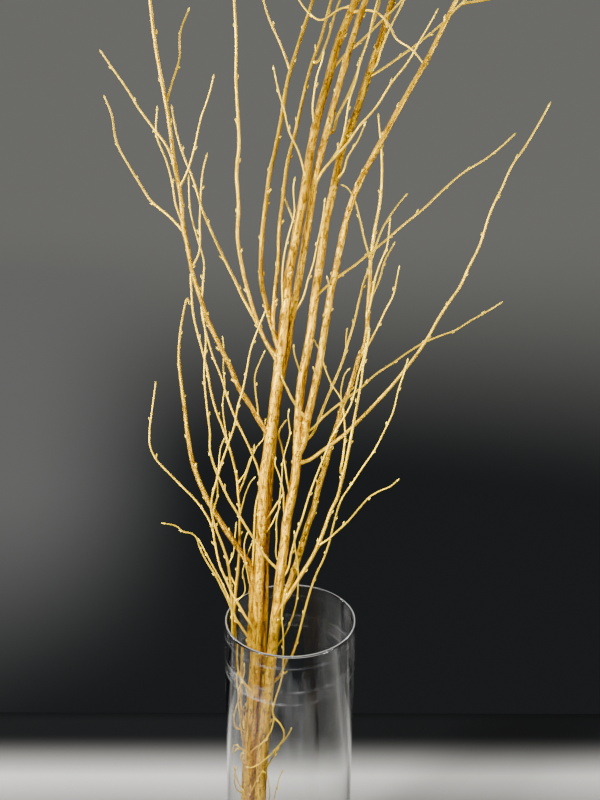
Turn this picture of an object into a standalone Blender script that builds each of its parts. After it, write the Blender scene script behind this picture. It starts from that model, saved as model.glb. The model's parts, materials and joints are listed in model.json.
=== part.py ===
"""Birch branches, gilded, standing in a clear glass cylinder vase.

Metres, +Z up. The origin is the middle of the vase's underside, and -Y faces the front view.
Each branch is one body: a main stem with its side stems, twigs and buds grown together.
"""
import math
import random

import bmesh
import bpy
import numpy as np
from mathutils import Vector

# The vase
VASE_DIAMETER = 0.127
VASE_HEIGHT = 0.406
VASE_WALL = 0.0030
VASE_BASE = 0.0120
VASE_FOOT_ROUNDING = 0.0025
VASE_STEPS = 48
WELD = 0.00001

# The branches
SEAT_GAP = 0.0003
CLEAR_OF_BRANCHES = 0.0018
CLEAR_OF_TWIGS = 0.0012
CLEAR_OF_WALL = 0.0008
DEPTH_STEP = 0.008
DEPTH_STEPS = 11
DEPTH_BENDS = (1.2, 0.6)
ROOT_ZONE = 0.018
ROOT_ZONE_PER_RADIUS = 9.0
WEIGHT_OF_OVERLAP = 10
ROUTE_TOLERANCE = 0.0010
SAMPLE_SPACING = 0.0035
MAIN_STEM = 0.0030
SIDE_STEM = 0.0015
SHARP_EDGE = math.radians(50)
BUD_LENGTH = 0.0044
BUD_HALF_WIDTH = 0.0010
BUD_SPACING = 0.032
BUD_FIRST = (0.9, 1.3)
BUD_NEXT = (0.85, 1.2)
BUD_LAST = 0.6
BUD_TURN = 0.8
BUD_LOOK_AHEAD = 0.004
BUD_TIP_SHARE = 0.3
BUD_SUNK = 0.4
BUD_ANGLE = math.radians(24)
BUDS_SKIPPED = 3
BUD_SIDES = 4

# The twigs of the crown, which follow a rule
CROWN_START = 0.96
CROWN_SPACING = 0.048
CROWN_CLOSEST = 0.8
CROWN_TWIG = 0.115
CROWN_VARIES = (0.85, 1.15)
CROWN_ANGLE = math.radians(40)
CROWN_TURN = math.radians(137.5)
CROWN_THICKNESS = 0.0021
CROWN_TAPER = 0.6
CROWN_SPREAD = 0.06
CROWN_STEP = 0.018
CROWN_RISE = 0.07
CROWN_WAVE = 0.05
CROWN_WAVE_TURN = 2.1
CROWN_OTHER_TURNS = (0.0, 0.5, -0.5, 1.0, -1.0, 1.5, -1.5, 2.0, -2.0)
CROWN_SHORTEST = 0.03
CROWN_SHARE_LEFT = 0.55
CROWN_BARE_TIP = 0.02

# Routes are drawn in centimetres on the upright plane Y = 0, as seen from this point.
# Giving a point a depth moves it along the line of sight, so the front view keeps the drawing.
EYE = np.array([0.0, -0.527, 0.729])
CENTIMETRE = 0.01
MILLIMETRE = 0.001

STEMS = {}


class Stem:
    """A stem or twig: its drawn route with depths, its centre line and its half thickness."""

    def __init__(self, name, branch, parent, route, depths, radii):
        self.name = name
        self.branch = branch
        self.parent = parent
        self.route = np.array(route, dtype=float)
        self.depths = np.array(depths, dtype=float)
        reach = 1.0 - self.depths / EYE[1]
        flat = np.column_stack([self.route[:, 0], 0.0 * self.depths, self.route[:, 1]])
        self.line = EYE + (flat - EYE) * reach[:, None]
        self.radii = np.array(radii, dtype=float) * reach


def lengths_along(points):
    steps = np.linalg.norm(np.diff(points, axis=0), axis=1)
    return np.concatenate([[0.0], np.cumsum(steps)])


def to_metres(route):
    return np.array(route, dtype=float) * CENTIMETRE


def main_stem(name, branch, root, tip, depth, route):
    """A stem that stands in the vase. Thickness in mm, depth as (height, depth) pairs in cm."""
    points = to_metres(route)
    knots = to_metres(depth)
    share = lengths_along(points) / lengths_along(points)[-1]
    thickness = tip + (root - tip) * (1.0 - share ** 2)
    depths = np.interp(points[:, 1], knots[:, 0], knots[:, 1])
    stem = Stem(name, branch, None, points, depths, thickness * MILLIMETRE / 2)
    first = stem.line[1] - stem.line[0]
    tilt = np.hypot(first[0], first[1]) / first[2]
    stem.line[0, 2] = VASE_BASE + SEAT_GAP + stem.radii[0] * tilt
    STEMS[name] = stem


def nearest_on_route(stem, point):
    """The place on a stem's drawn route that is nearest to a point, with depth and radius."""
    best = None
    for index in range(len(stem.route) - 1):
        start, end = stem.route[index], stem.route[index + 1]
        along = np.dot(point - start, end - start) / max(np.dot(end - start, end - start), 1e-12)
        along = min(max(along, 0.0), 1.0)
        place = start + (end - start) * along
        gap = np.linalg.norm(point - place)
        if best is None or gap < best[0]:
            depth = stem.depths[index] * (1 - along) + stem.depths[index + 1] * along
            radius = stem.radii[index] * (1 - along) + stem.radii[index + 1] * along
            best = (gap, place, depth, radius)
    return best[1:]


def sampled(line, radii):
    """Points along a line at even spacing, with their radii."""
    along = lengths_along(line)
    count = max(2, int(along[-1] / SAMPLE_SPACING))
    places = np.linspace(0.0, along[-1], count)
    points = np.column_stack([np.interp(places, along, line[:, axis]) for axis in range(3)])
    return points, np.interp(places, along, radii)


def gap_to_stem(points, radii, stem):
    """The smallest gap between sampled points and a stem's surface."""
    start, end = stem.line[:-1], stem.line[1:]
    low = stem.line.min(axis=0) - ROOT_ZONE
    high = stem.line.max(axis=0) + ROOT_ZONE
    near = np.all((points > low) & (points < high), axis=1)
    if not near.any():
        return ROOT_ZONE
    points, radii = points[near], radii[near]
    run = end - start
    offset = points[:, None, :] - start[None, :, :]
    along = np.clip((offset * run).sum(axis=2) / np.maximum((run * run).sum(axis=1), 1e-12), 0, 1)
    distance = np.linalg.norm(offset - along[:, :, None] * run, axis=2)
    other = stem.radii[:-1] * (1 - along) + stem.radii[1:] * along
    return float((distance - other - radii[:, None]).min())


def room_for(line, radii, branch):
    """How much a new line clears other branches, its own branch, and the vase's wall by."""
    points, sizes = sampled(line, radii)
    free = np.linalg.norm(points - points[0], axis=1) > ROOT_ZONE + ROOT_ZONE_PER_RADIUS * radii[0]
    others = own = ROOT_ZONE
    for stem in STEMS.values():
        if stem.branch != branch:
            others = min(others, gap_to_stem(points, sizes, stem))
        elif free.any():
            own = min(own, gap_to_stem(points[free], sizes[free], stem))
    low = points[:, 2] < VASE_HEIGHT + 2 * VASE_WALL
    wall = ROOT_ZONE
    if low.any():
        inner = VASE_DIAMETER / 2 - VASE_WALL
        wall = float((inner - np.hypot(points[low, 0], points[low, 1]) - sizes[low]).min())
    return others, own, wall


def shortfall(room):
    """Zero where a line has all the room it needs; otherwise how badly it lacks it."""
    others, own, wall = room
    lack = max(0.0, CLEAR_OF_BRANCHES - others) + max(0.0, CLEAR_OF_WALL - wall)
    return WEIGHT_OF_OVERLAP * lack + max(0.0, CLEAR_OF_TWIGS - own)


def twig(name, parent, root, tip, lean, route, bow=None):
    """A side stem or twig. Thickness in mm, lean is the depth in cm that its tip gains.

    A bow gives the depth gained at shares of the length instead, for a twig that swings
    round what it crosses. Where there is no room, the twig leans further either way.
    """
    carrier = STEMS[parent]
    points = to_metres(route)
    place, depth, carrier_radius = nearest_on_route(carrier, points[0])
    outside = np.linalg.norm(points - place, axis=1) > carrier_radius
    points = np.vstack([place, points[outside]])
    share = lengths_along(points) / lengths_along(points)[-1]
    radii = (root + (tip - root) * share) * MILLIMETRE / 2
    steps = [0]
    for step in range(1, DEPTH_STEPS):
        steps += [step, -step]
    best = None
    for step, bend in [(step, bend) for step in steps for bend in DEPTH_BENDS]:
        depths = depth + (lean * CENTIMETRE + step * DEPTH_STEP) * share ** bend
        if bow:
            shares, gains = zip(*bow)
            depths = depth + np.interp(share, shares, gains) * CENTIMETRE + step * DEPTH_STEP * share
        stem = Stem(name, carrier.branch, parent, points, depths, radii)
        lack = shortfall(room_for(stem.line, stem.radii, stem.branch))
        if best is None or lack < best[0] - 1e-9:
            best = (lack, stem)
        if lack == 0.0:
            break
    STEMS[name] = best[1]


def draw_main_stems():
    main_stem("tall", "branch_tall", 10.5, 2.0,
              [(1, -0.6), (20, -0.5), (40, -0.35), (60, -0.3), (70, -0.25), (80, 0), (94, 1), (125, 5)],
              [(-4.9, 1.2), (-4.55, 10), (-4.2, 20), (-3.8, 30), (-3.5, 35), (-3.2, 40), (-3.05, 44),
               (-2.85, 48), (-2.68, 52), (-2.53, 55), (-2.22, 57), (-1.83, 60), (-1.5, 63), (-1.25, 65),
               (-0.98, 67), (-0.78, 69), (-0.58, 71), (-0.45, 72.75), (-0.1, 74.75), (0.13, 75.95),
               (0.43, 77.5), (0.95, 80.5), (1.32, 83.15), (1.9, 85.9), (2.6, 88.3), (3.3, 90.9),
               (4.4, 93.6), (5.6, 96.2), (6.6, 98.4), (7.4, 100.6), (8.4, 102.8), (9.5, 105),
               (10.3, 107.3), (11.4, 109.6), (12.2, 112), (13.2, 114.4), (13.9, 117), (15.0, 120)])
    main_stem("middle", "branch_middle", 8.6, 2.0,
              [(1, 0.5), (20, 0.45), (40, 0.5), (60, 0.5), (70, 0.45), (80, 0.45), (94, -0.7), (117, -4)],
              [(-4.3, 1.2), (-3.95, 10), (-3.6, 20), (-3.15, 30), (-2.85, 35), (-2.6, 40), (-2.5, 44),
               (-2.45, 48), (-2.2, 52), (-2.03, 55), (-1.83, 57), (-1.55, 60), (-1.2, 63), (-0.85, 65),
               (-0.45, 67), (-0.2, 69), (0.0, 70), (0.33, 71.8), (0.5, 72.8), (0.8, 74.8), (1.25, 77.5),
               (1.67, 80.55), (2.27, 83.2), (2.8, 85.2), (3.55, 88.1), (4.1, 90), (4.7, 92), (5.6, 94.6),
               (6.2, 96), (6.9, 98.2), (7.4, 100.4), (8.2, 102.7), (8.8, 105), (9.1, 107.4),
               (9.7, 109.8), (10.1, 112.2), (10.4, 116)])
    main_stem("forked", "branch_forked", 10.5, 2.0,
              [(1, -1.1), (20, -1.0), (40, -0.9), (48, -0.9), (57, -0.7), (70, 0.3), (80, 1.3), (94, 3),
               (112, 6)],
              [(-3.66, 1.2), (-3.38, 10), (-3.02, 20), (-2.8, 25), (-2.42, 30), (-1.98, 35), (-1.48, 40),
               (-1.3, 42), (-1.12, 44), (-0.92, 46), (-0.65, 48), (-0.48, 50), (-0.17, 52), (0.2, 54),
               (0.42, 56), (0.5, 58), (0.55, 60), (0.65, 62), (0.82, 64), (1.18, 66), (1.5, 68),
               (1.74, 70), (1.97, 72), (2.27, 74), (2.7, 77.5), (3.3, 80.25), (3.9, 83.1), (4.95, 85.9),
               (5.85, 88.75), (6.8, 91.6), (7.6, 94.35), (8.4, 96.6), (9.3, 98.7), (9.9, 101),
               (10.8, 103.2), (11.8, 105.4), (12.4, 107.8), (13.1, 110.2)])
    main_stem("side", "branch_side", 7.4, 1.5,
              [(1, 0.4), (20, 0.45), (40, 0.65), (50, 1.1), (60, 2.2), (75, 3.2), (87, 2.6)],
              [(-3.3, 1.2), (-3.0, 10), (-2.72, 20), (-2.2, 30), (-1.75, 35), (-1.2, 40), (-0.55, 42.9),
               (-0.05, 44.25), (0.48, 46), (1.0, 47.95), (1.53, 50), (2.04, 51.6), (2.46, 53.7),
               (3.05, 55.85), (3.56, 58.1), (4.17, 60.1), (4.5, 61.5), (5.0, 62.75), (5.5, 64.5),
               (5.87, 65.95), (6.3, 67.0), (6.45, 68), (6.5, 70), (6.58, 72), (6.6, 74.4), (6.85, 76.75),
               (7.2, 79), (7.3, 81.15), (7.2, 83), (6.8, 86.05)])
    main_stem("left", "branch_left", 8.2, 1.5,
              [(1, 0.5), (20, 0.5), (40, 0.4), (46, 0.5), (60, 2.5), (71, 4.5)],
              [(-5.25, 1.2), (-4.95, 10), (-4.6, 20), (-4.25, 30), (-3.95, 36), (-3.8, 40), (-3.68, 43),
               (-3.72, 45.2), (-4.05, 46.3), (-4.5, 46.95), (-5.4, 48.4), (-6.43, 50.05), (-7.2, 51.4),
               (-8.0, 53.0), (-8.74, 54.95), (-9.15, 56.5), (-9.48, 58.95), (-9.72, 61.75),
               (-9.9, 63.4), (-10.05, 65.55), (-9.92, 67.5), (-9.57, 69.5), (-9.13, 70.9), (-9.0, 70.4)])


def draw_tall_twigs():
    twig("left stem", "tall", 4.6, 1.7, -3.5,
         [(-2.3, 58.7), (-2.83, 59.85), (-3.75, 61.45), (-4.68, 62.9), (-5.55, 65), (-6.5, 67),
          (-7.4, 69), (-8.05, 71), (-8.7, 73.2), (-9.0, 75.05), (-9.35, 77), (-9.5, 79.3), (-9.94, 81.95),
          (-10.3, 85.3), (-10.7, 87.8), (-11.1, 90.2), (-11.5, 94.1), (-11.8, 98.8), (-12.2, 101.2),
          (-12.3, 105), (-12.6, 107.5)])
    twig("inner stem", "tall", 3.9, 1.6, 3.5,
         [(-1.1, 66.3), (-1.6, 67.5), (-1.75, 69.2), (-1.6, 71.4), (-1.3, 74.3), (-1.25, 76.65),
          (-0.95, 79.4), (-0.56, 82.2), (0.05, 84.5), (0.5, 86.5), (1.17, 89.2), (2.05, 91.65),
          (2.8, 94.35), (3.3, 96), (4.1, 100.1), (4.6, 102)])
    twig("back stem", "tall", 4.4, 1.6, 6.5,
         [(-1.05, 66.8), (-1.75, 68.3), (-2.3, 70.2), (-2.75, 72.3), (-2.8, 74.35), (-2.65, 76.6),
          (-2.3, 79.4), (-2.05, 81.3), (-1.6, 83.1), (-1.05, 85.85), (-0.6, 88.45), (0.06, 90.55),
          (0.96, 93.2), (1.33, 94.3), (2.0, 96.5), (2.9, 101.5), (3.9, 106.6), (4.3, 109)])
    twig("upright stem", "tall", 3.6, 1.5, -5.0,
         [(-1.25, 65.7), (-2.35, 67.2), (-3.2, 69.2), (-3.9, 71.5), (-4.24, 72.75), (-4.6, 74.7),
          (-4.78, 76), (-4.66, 78.6), (-4.8, 81.5), (-4.6, 83.2), (-4.65, 85.45), (-4.8, 88.7),
          (-4.74, 90.75), (-4.87, 94.15), (-5.1, 98.6), (-5.0, 100.8), (-5.3, 104)])
    twig("slanting twig", "tall", 3.2, 1.4, 2.5,
         [(-1.3, 65.3), (-2.3, 67.0), (-3.2, 68.9), (-4.3, 70.9), (-5.0, 72.4), (-5.6, 73.6), (-6.6, 75.65),
          (-7.65, 78.1), (-8.48, 80.85), (-9.06, 82.25), (-9.7, 84.3), (-9.95, 85.65), (-10.05, 86.45)])
    twig("left fork", "left stem", 2.3, 1.4, 3.0,
         [(-9.95, 81.4), (-10.55, 83.3), (-11.35, 84.35), (-12.69, 86.1), (-13.62, 87.6), (-14.67, 89.05),
          (-15.65, 90.45)])
    twig("left lower fork", "left stem", 2.4, 1.4, 4.5,
         [(-9.3, 76.4), (-10.55, 77.75), (-12, 78.95), (-12.9, 80.35), (-13.66, 81.6), (-14.63, 83.5),
          (-14.97, 85.75), (-15.5, 87.1)])
    twig("left short fork", "left stem", 1.9, 1.3, -2.0,
         [(-9.35, 77), (-9.95, 78.7), (-10.2, 80.5), (-10.6, 82.1), (-11.35, 84.1), (-11.2, 86.35)])
    twig("left inner fork", "left stem", 2.0, 1.3, -2.5,
         [(-9.6, 80), (-9.0, 81.1), (-8.25, 83.25), (-7.7, 85.4), (-6.9, 87.5), (-6.55, 88.8)])
    twig("left upper fork", "left stem", 1.9, 1.3, 2.0,
         [(-10.5, 86.5), (-10.0, 87.95), (-9.3, 89.95), (-9.2, 91.7), (-8.4, 93.6)])
    twig("back fork", "back stem", 1.9, 1.2, 2.0,
         [(-0.45, 89.1), (-1.15, 90.9), (-2.17, 93), (-3.0, 96), (-3.7, 99.8)])
    twig("inner fork", "inner stem", 2.0, 1.3, 2.0,
         [(1.5, 89.75), (2.3, 90.85), (2.65, 91.75), (3.1, 93.35), (4.0, 95.6), (4.8, 98.4)])
    twig("crossing twig", "tall", 1.9, 1.3, -3.0,
         [(0.8, 80.8), (0.22, 83.2), (-0.36, 84.25), (-0.98, 86.45), (-1.3, 87.4), (-1.8, 89.5)])
    twig("close twig", "tall", 1.8, 1.3, -2.0,
         [(-0.75, 69.2), (-0.95, 71), (-0.8, 74.75), (-0.4, 76.5), (0, 77.9), (-0.05, 80.5), (0.07, 81.05)])
    twig("short twig", "tall", 1.7, 1.4, 1.5, [(0.3, 76.8), (-0.35, 78.2), (-0.75, 79.2), (-1.0, 80)])
    twig("low front twig", "tall", 1.7, 1.2, -1.0,
         [(-4.15, 20.2), (-3.6, 21.4), (-3.0, 22.7), (-2.6, 23.2), (-2.35, 23.0)])
    twig("parallel twig", "tall", 1.8, 1.3, -1.5,
         [(1.65, 84.8), (1.43, 86.2), (1.55, 87.6), (1.8, 88.95), (2.1, 89.8), (2.3, 90.8)])
    twig("drooping twig", "tall", 2.0, 1.3, -3.0,
         [(4.4, 93.4), (5.71, 93.6), (6.46, 93.43), (7.08, 92.94), (7.59, 92.3), (7.93, 91.69), (9.25, 90.87),
          (10.5, 89.6)])
    twig("curled twig", "tall", 1.8, 1.2, 2.5,
         [(4.5, 93.9), (3.6, 93.7), (1.8, 92.85), (1.2, 93.2), (0.27, 94.2), (-0.3, 95.4), (-0.7, 98.4)])
    twig("right leaning twig", "tall", 2.1, 1.3, 3.5,
         [(2.85, 89.0), (3.9, 90.3), (5.0, 91.2), (6.8, 92.85), (8.2, 94.2), (9.2, 95.6), (11, 98.4)])
    twig("hanging loop twig", "left stem", 1.6, 1.2, -2.0,
         [(-3.05, 60.3), (-3.12, 61.2), (-3.28, 62.5), (-3.32, 64.35), (-2.86, 65.55), (-2.43, 66.5)])


def draw_crossing_twigs():
    """Two short twigs of the tall branch that rise to the right in front of the dark gap."""
    twig("front cross twig", "tall", 2.6, 1.8, 0.5,
         [(-2.6, 50.2), (-1.82, 51.4), (-1.38, 52.15), (-0.95, 52.8), (-0.7, 53.3)])
    twig("second front cross twig", "tall", 1.8, 1.3, 0.3,
         [(-2.6, 48.7), (-1.82, 50.15), (-1.45, 51.0), (-1.03, 51.95)])


def draw_middle_twigs():
    twig("long twig", "middle", 2.6, 1.4, -4.5,
         [(1.3, 79.7), (1.9, 80.75), (2.61, 81.83), (3.5, 82.78), (4.23, 83.57), (5.35, 85.1),
          (6.5, 86.35), (7.84, 88.4),
          (9.05, 89.9), (10.05, 91.65), (10.93, 93.15), (11.3, 93.85)])
    twig("right twig", "middle", 2.0, 1.3, -3.0,
         [(0.1, 69.65), (0.38, 70.25), (0.75, 70.9), (1.27, 72.65), (1.75, 74.25), (2.0, 75.6),
          (2.4, 77.6), (2.6, 79.4)])
    twig("right fork twig", "middle", 2.4, 1.3, 3.0,
         [(3.0, 84.5), (3.46, 85.7), (4.27, 87.3), (4.93, 88.9), (5.27, 90.05), (5.9, 91.9), (6.55, 94),
          (7.0, 97.4), (7.5, 100.4)])
    twig("thin inner twig", "middle", 2.1, 1.3, -2.0,
         [(2.0, 80.9), (2.9, 82.2), (3.7, 83.4), (4.1, 84.85), (4.25, 85.9), (4.42, 87), (4.91, 88.52),
          (5.26, 90.0), (5.74, 91.33), (6.05, 92.78), (6.4, 94.2), (6.7, 95.2)])


def draw_vase_twigs():
    """The small looping twigs low in the vase, in front of the stems."""
    twig("loop twig", "tall", 2.0, 1.3, -1.6,
         [(-4.0, 25.3), (-3.75, 25.7), (-3.3, 26.05), (-2.95, 26.3), (-2.45, 26.8), (-2.0, 27.55),
          (-1.68, 28.5), (-1.6, 29.3), (-1.72, 30.0), (-1.6, 30.7), (-1.4, 31.5), (-1.15, 32.3),
          (-0.95, 33.0), (-0.72, 34.2), (-0.7, 35.15), (-0.66, 37), (-0.7, 39), (-0.85, 40.6),
          (-0.75, 42.0), (-0.45, 43.6)],
         bow=[(0, 0), (0.03, -1.4), (0.08, -1.7), (0.2, -1.5), (0.45, -1.3), (1, -1.6)])
    twig("bulging loop", "loop twig", 1.9, 1.4, 0.3,
         [(-1.6, 29.3), (-1.3, 28.95), (-0.93, 28.55), (-0.57, 27.75), (-0.57, 27.05), (-0.93, 26.3),
          (-1.45, 25.7), (-1.95, 25.1), (-2.57, 24.5), (-3.2, 23.95), (-3.9, 23.65), (-4.43, 23.75)])
    twig("curl", "tall", 1.9, 1.4, -2.0,
         [(-4.2, 25.3), (-4.5, 25.7), (-4.95, 25.9), (-5.3, 25.85), (-5.52, 25.5)],
         bow=[(0, 0), (0.3, -1.2), (1, -1.5)])
    twig("wall curl", "curl", 1.6, 1.2, -0.5,
         [(-4.95, 25.9), (-5.3, 26.4), (-5.52, 26.25), (-5.65, 25.7), (-5.7, 25.1)])
    twig("small loop", "tall", 1.8, 1.3, -2.0,
         [(-4.25, 24.3), (-4.1, 24.0), (-4.45, 24.2), (-4.75, 24.4), (-4.88, 24.85), (-4.75, 25.35),
          (-4.45, 25.3)],
         bow=[(0, 0), (0.25, -1.3), (1, -1.9)])
    twig("low wall twig", "tall", 2.0, 1.3, -1.0,
         [(-4.2, 18.6), (-4.4, 19.6), (-4.6, 20.3), (-4.85, 21.05), (-5.15, 21.75), (-5.35, 22.4),
          (-5.55, 23.1), (-5.6, 23.9)],
         bow=[(0, 0), (0.3, -0.9), (1, -0.6)])
    twig("low wall fork", "low wall twig", 1.6, 1.2, -0.5,
         [(-4.7, 20.6), (-5.3, 20.9), (-5.5, 21.5), (-5.55, 22.2), (-5.5, 23.0), (-5.3, 23.8)])
    twig("low front fork", "low front twig", 1.5, 1.2, 0.3,
         [(-3.9, 20.9), (-4.0, 21.5), (-4.1, 22.3)])


def draw_forked_twigs():
    twig("right stem", "forked", 7.2, 2.0, -6.0,
         [(0.48, 57.0), (1.0, 58.2), (1.28, 60), (1.72, 62), (2.13, 64), (2.45, 66), (2.72, 68), (3.0, 70),
          (3.3, 72), (3.5, 72.9), (4.0, 75.6), (4.6, 78.3), (5.5, 80.8), (6.83, 83.3), (8.0, 85.5),
          (9.4, 88), (10.8, 90.5), (12.0, 93.05), (12.7, 94.45), (13.9, 96.4), (15.2, 98.5),
          (16.1, 100.8), (17.3, 102.9), (18.4, 105.2), (19.5, 108)])
    twig("outer stem", "forked", 3.4, 1.5, -3.5,
         [(0.5, 56.1), (1.56, 56.45), (2.6, 57.2), (3.78, 58.1), (4.97, 59.1), (6.07, 60.25), (7.48, 61.8),
          (8.7, 63.2), (9.98, 64.9), (11.15, 66.55), (12.08, 68.15), (12.7, 69.4), (13.68, 71.05),
          (14.37, 72.1), (15.1, 73.9), (15.75, 75.35), (16.7, 78.7), (17.45, 80.45), (18.05, 82),
          (19.1, 83.65), (19.84, 85), (20.9, 87.1)])
    twig("outer twig", "right stem", 2.2, 1.4, 2.5,
         [(1.25, 59.0), (1.85, 59.45), (2.77, 60.45), (3.95, 61.5), (5.05, 62.35), (6.13, 63.2),
          (7.35, 64.4), (8.87, 65.45), (10.2, 66.45), (11.57, 67.3), (13.3, 68.05), (14.0, 68.3),
          (15.58, 69.3), (17.2, 70.25), (18.25, 70.95)])
    twig("long right twig", "forked", 2.4, 1.4, 5.0,
         [(2.0, 71.2), (2.83, 72.05), (4.05, 73.05), (5.0, 73.7), (6.3, 74.75), (7.9, 76.05), (9.25, 77.25),
          (10.9, 78.6), (12.5, 80.15), (14.05, 81.5), (15.9, 82.65), (17.1, 83.6), (18.25, 84.7)])
    twig("fork twig", "forked", 2.0, 1.3, -3.0,
         [(3.45, 80.8), (4.05, 81.45), (4.35, 82.5), (5.25, 84), (5.8, 85.3)])
    twig("level twig", "forked", 2.1, 1.3, 3.5,
         [(5.85, 88.7), (7.0, 89.35), (8.35, 90.25), (10.1, 91.5), (11.65, 92.75), (13.1, 94.2),
          (14.6, 95.3), (16.6, 97.4)])
    twig("steep twig", "forked", 1.9, 1.3, -2.5,
         [(5.95, 88.9), (6.5, 89.65), (6.85, 90.75), (7.55, 92.45), (8.5, 94.35), (9.6, 99.2)])
    twig("cross stem", "forked", 2.5, 1.5, -3.0,
         [(-1.0, 45.4), (-1.97, 46.3), (-2.95, 47.75), (-4.02, 49.5), (-5.07, 51.3), (-5.75, 52.45),
          (-6.56, 54.3), (-7.06, 55.6), (-7.46, 57.15), (-7.45, 59.05), (-7.63, 60.8), (-7.8, 62.9),
          (-7.85, 64.6), (-7.75, 66), (-7.65, 67.3), (-7.8, 69), (-8.0, 70.3)])
    twig("left arc twig", "forked", 2.3, 1.4, 1.8,
         [(0.05, 52.6), (-0.38, 54.3), (-0.72, 56.57), (-1.0, 57.93), (-1.22, 58.75), (-1.15, 59.2),
          (-0.85, 59.75), (-0.5, 60.25)])
    twig("thin upright twig", "forked", 1.5, 1.2, -1.6,
         [(-1.0, 45.9), (-1.36, 46.8), (-1.37, 48.7), (-1.36, 50.77), (-1.2, 51.6), (-1.04, 53.35),
          (-0.92, 54.43), (-0.84, 56.05), (-0.67, 57.03), (-0.35, 58.17), (-0.2, 58.8), (-0.27, 59.75),
          (-0.37, 60.55), (-0.27, 61.25)])
    twig("hooked twig", "forked", 1.7, 1.2, -1.5,
         [(0.8, 64.2), (0.45, 65.2), (0.1, 66.45), (0.07, 67.05)])
    twig("spur", "right stem", 1.7, 1.3, -0.8, [(2.15, 64.1), (1.78, 65.1)])
    twig("spur above", "right stem", 1.7, 1.3, -0.8, [(3.25, 71.6), (2.85, 73.0)])
    twig("narrow stem", "forked", 2.3, 1.4, -2.4,
         [(-1.05, 44.3), (-0.35, 45.4), (0.02, 47.15), (0.45, 49), (0.98, 50.65), (1.6, 52.9),
          (2.28, 54.95), (2.95, 56.75), (3.6, 58.6), (4.5, 60.2), (5.15, 61.4), (5.63, 63.1),
          (5.85, 64.4), (6.2, 65.7), (6.45, 67.3)])
    twig("inner crossing stem", "right stem", 2.6, 1.4, 5.5,
         [(1.1, 57.9), (1.85, 58.9), (2.53, 60.6), (3.17, 62.35), (3.75, 63.8), (4.42, 65.6), (4.87, 67.3),
          (5.33, 68.97), (5.7, 70.8), (6.08, 72.5), (6.5, 73.8), (6.95, 75.3), (7.4, 76.7), (8.2, 78.15),
          (9.05, 79.3), (9.55, 79.85)])
    twig("rising cross twig", "right stem", 3.0, 1.8, -1.3,
         [(1.22, 60.3), (0.87, 60.8), (0.43, 61.4), (-0.08, 62.2), (-0.5, 63.1), (-0.86, 63.8),
          (-1.0, 64.3)])
    twig("low cross twig", "forked", 1.8, 1.2, -1.2,
         [(-0.45, 50.4), (-0.68, 51.3), (-0.73, 52.2), (-0.75, 53.1), (-0.95, 54.25), (-1.25, 55.2),
          (-1.55, 56.05), (-1.46, 56.75)])
    twig("inner crossing spur", "inner crossing stem", 1.8, 1.5, 1.5,
         [(4.6, 66.7), (4.68, 67.7), (4.75, 68.55)])


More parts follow.
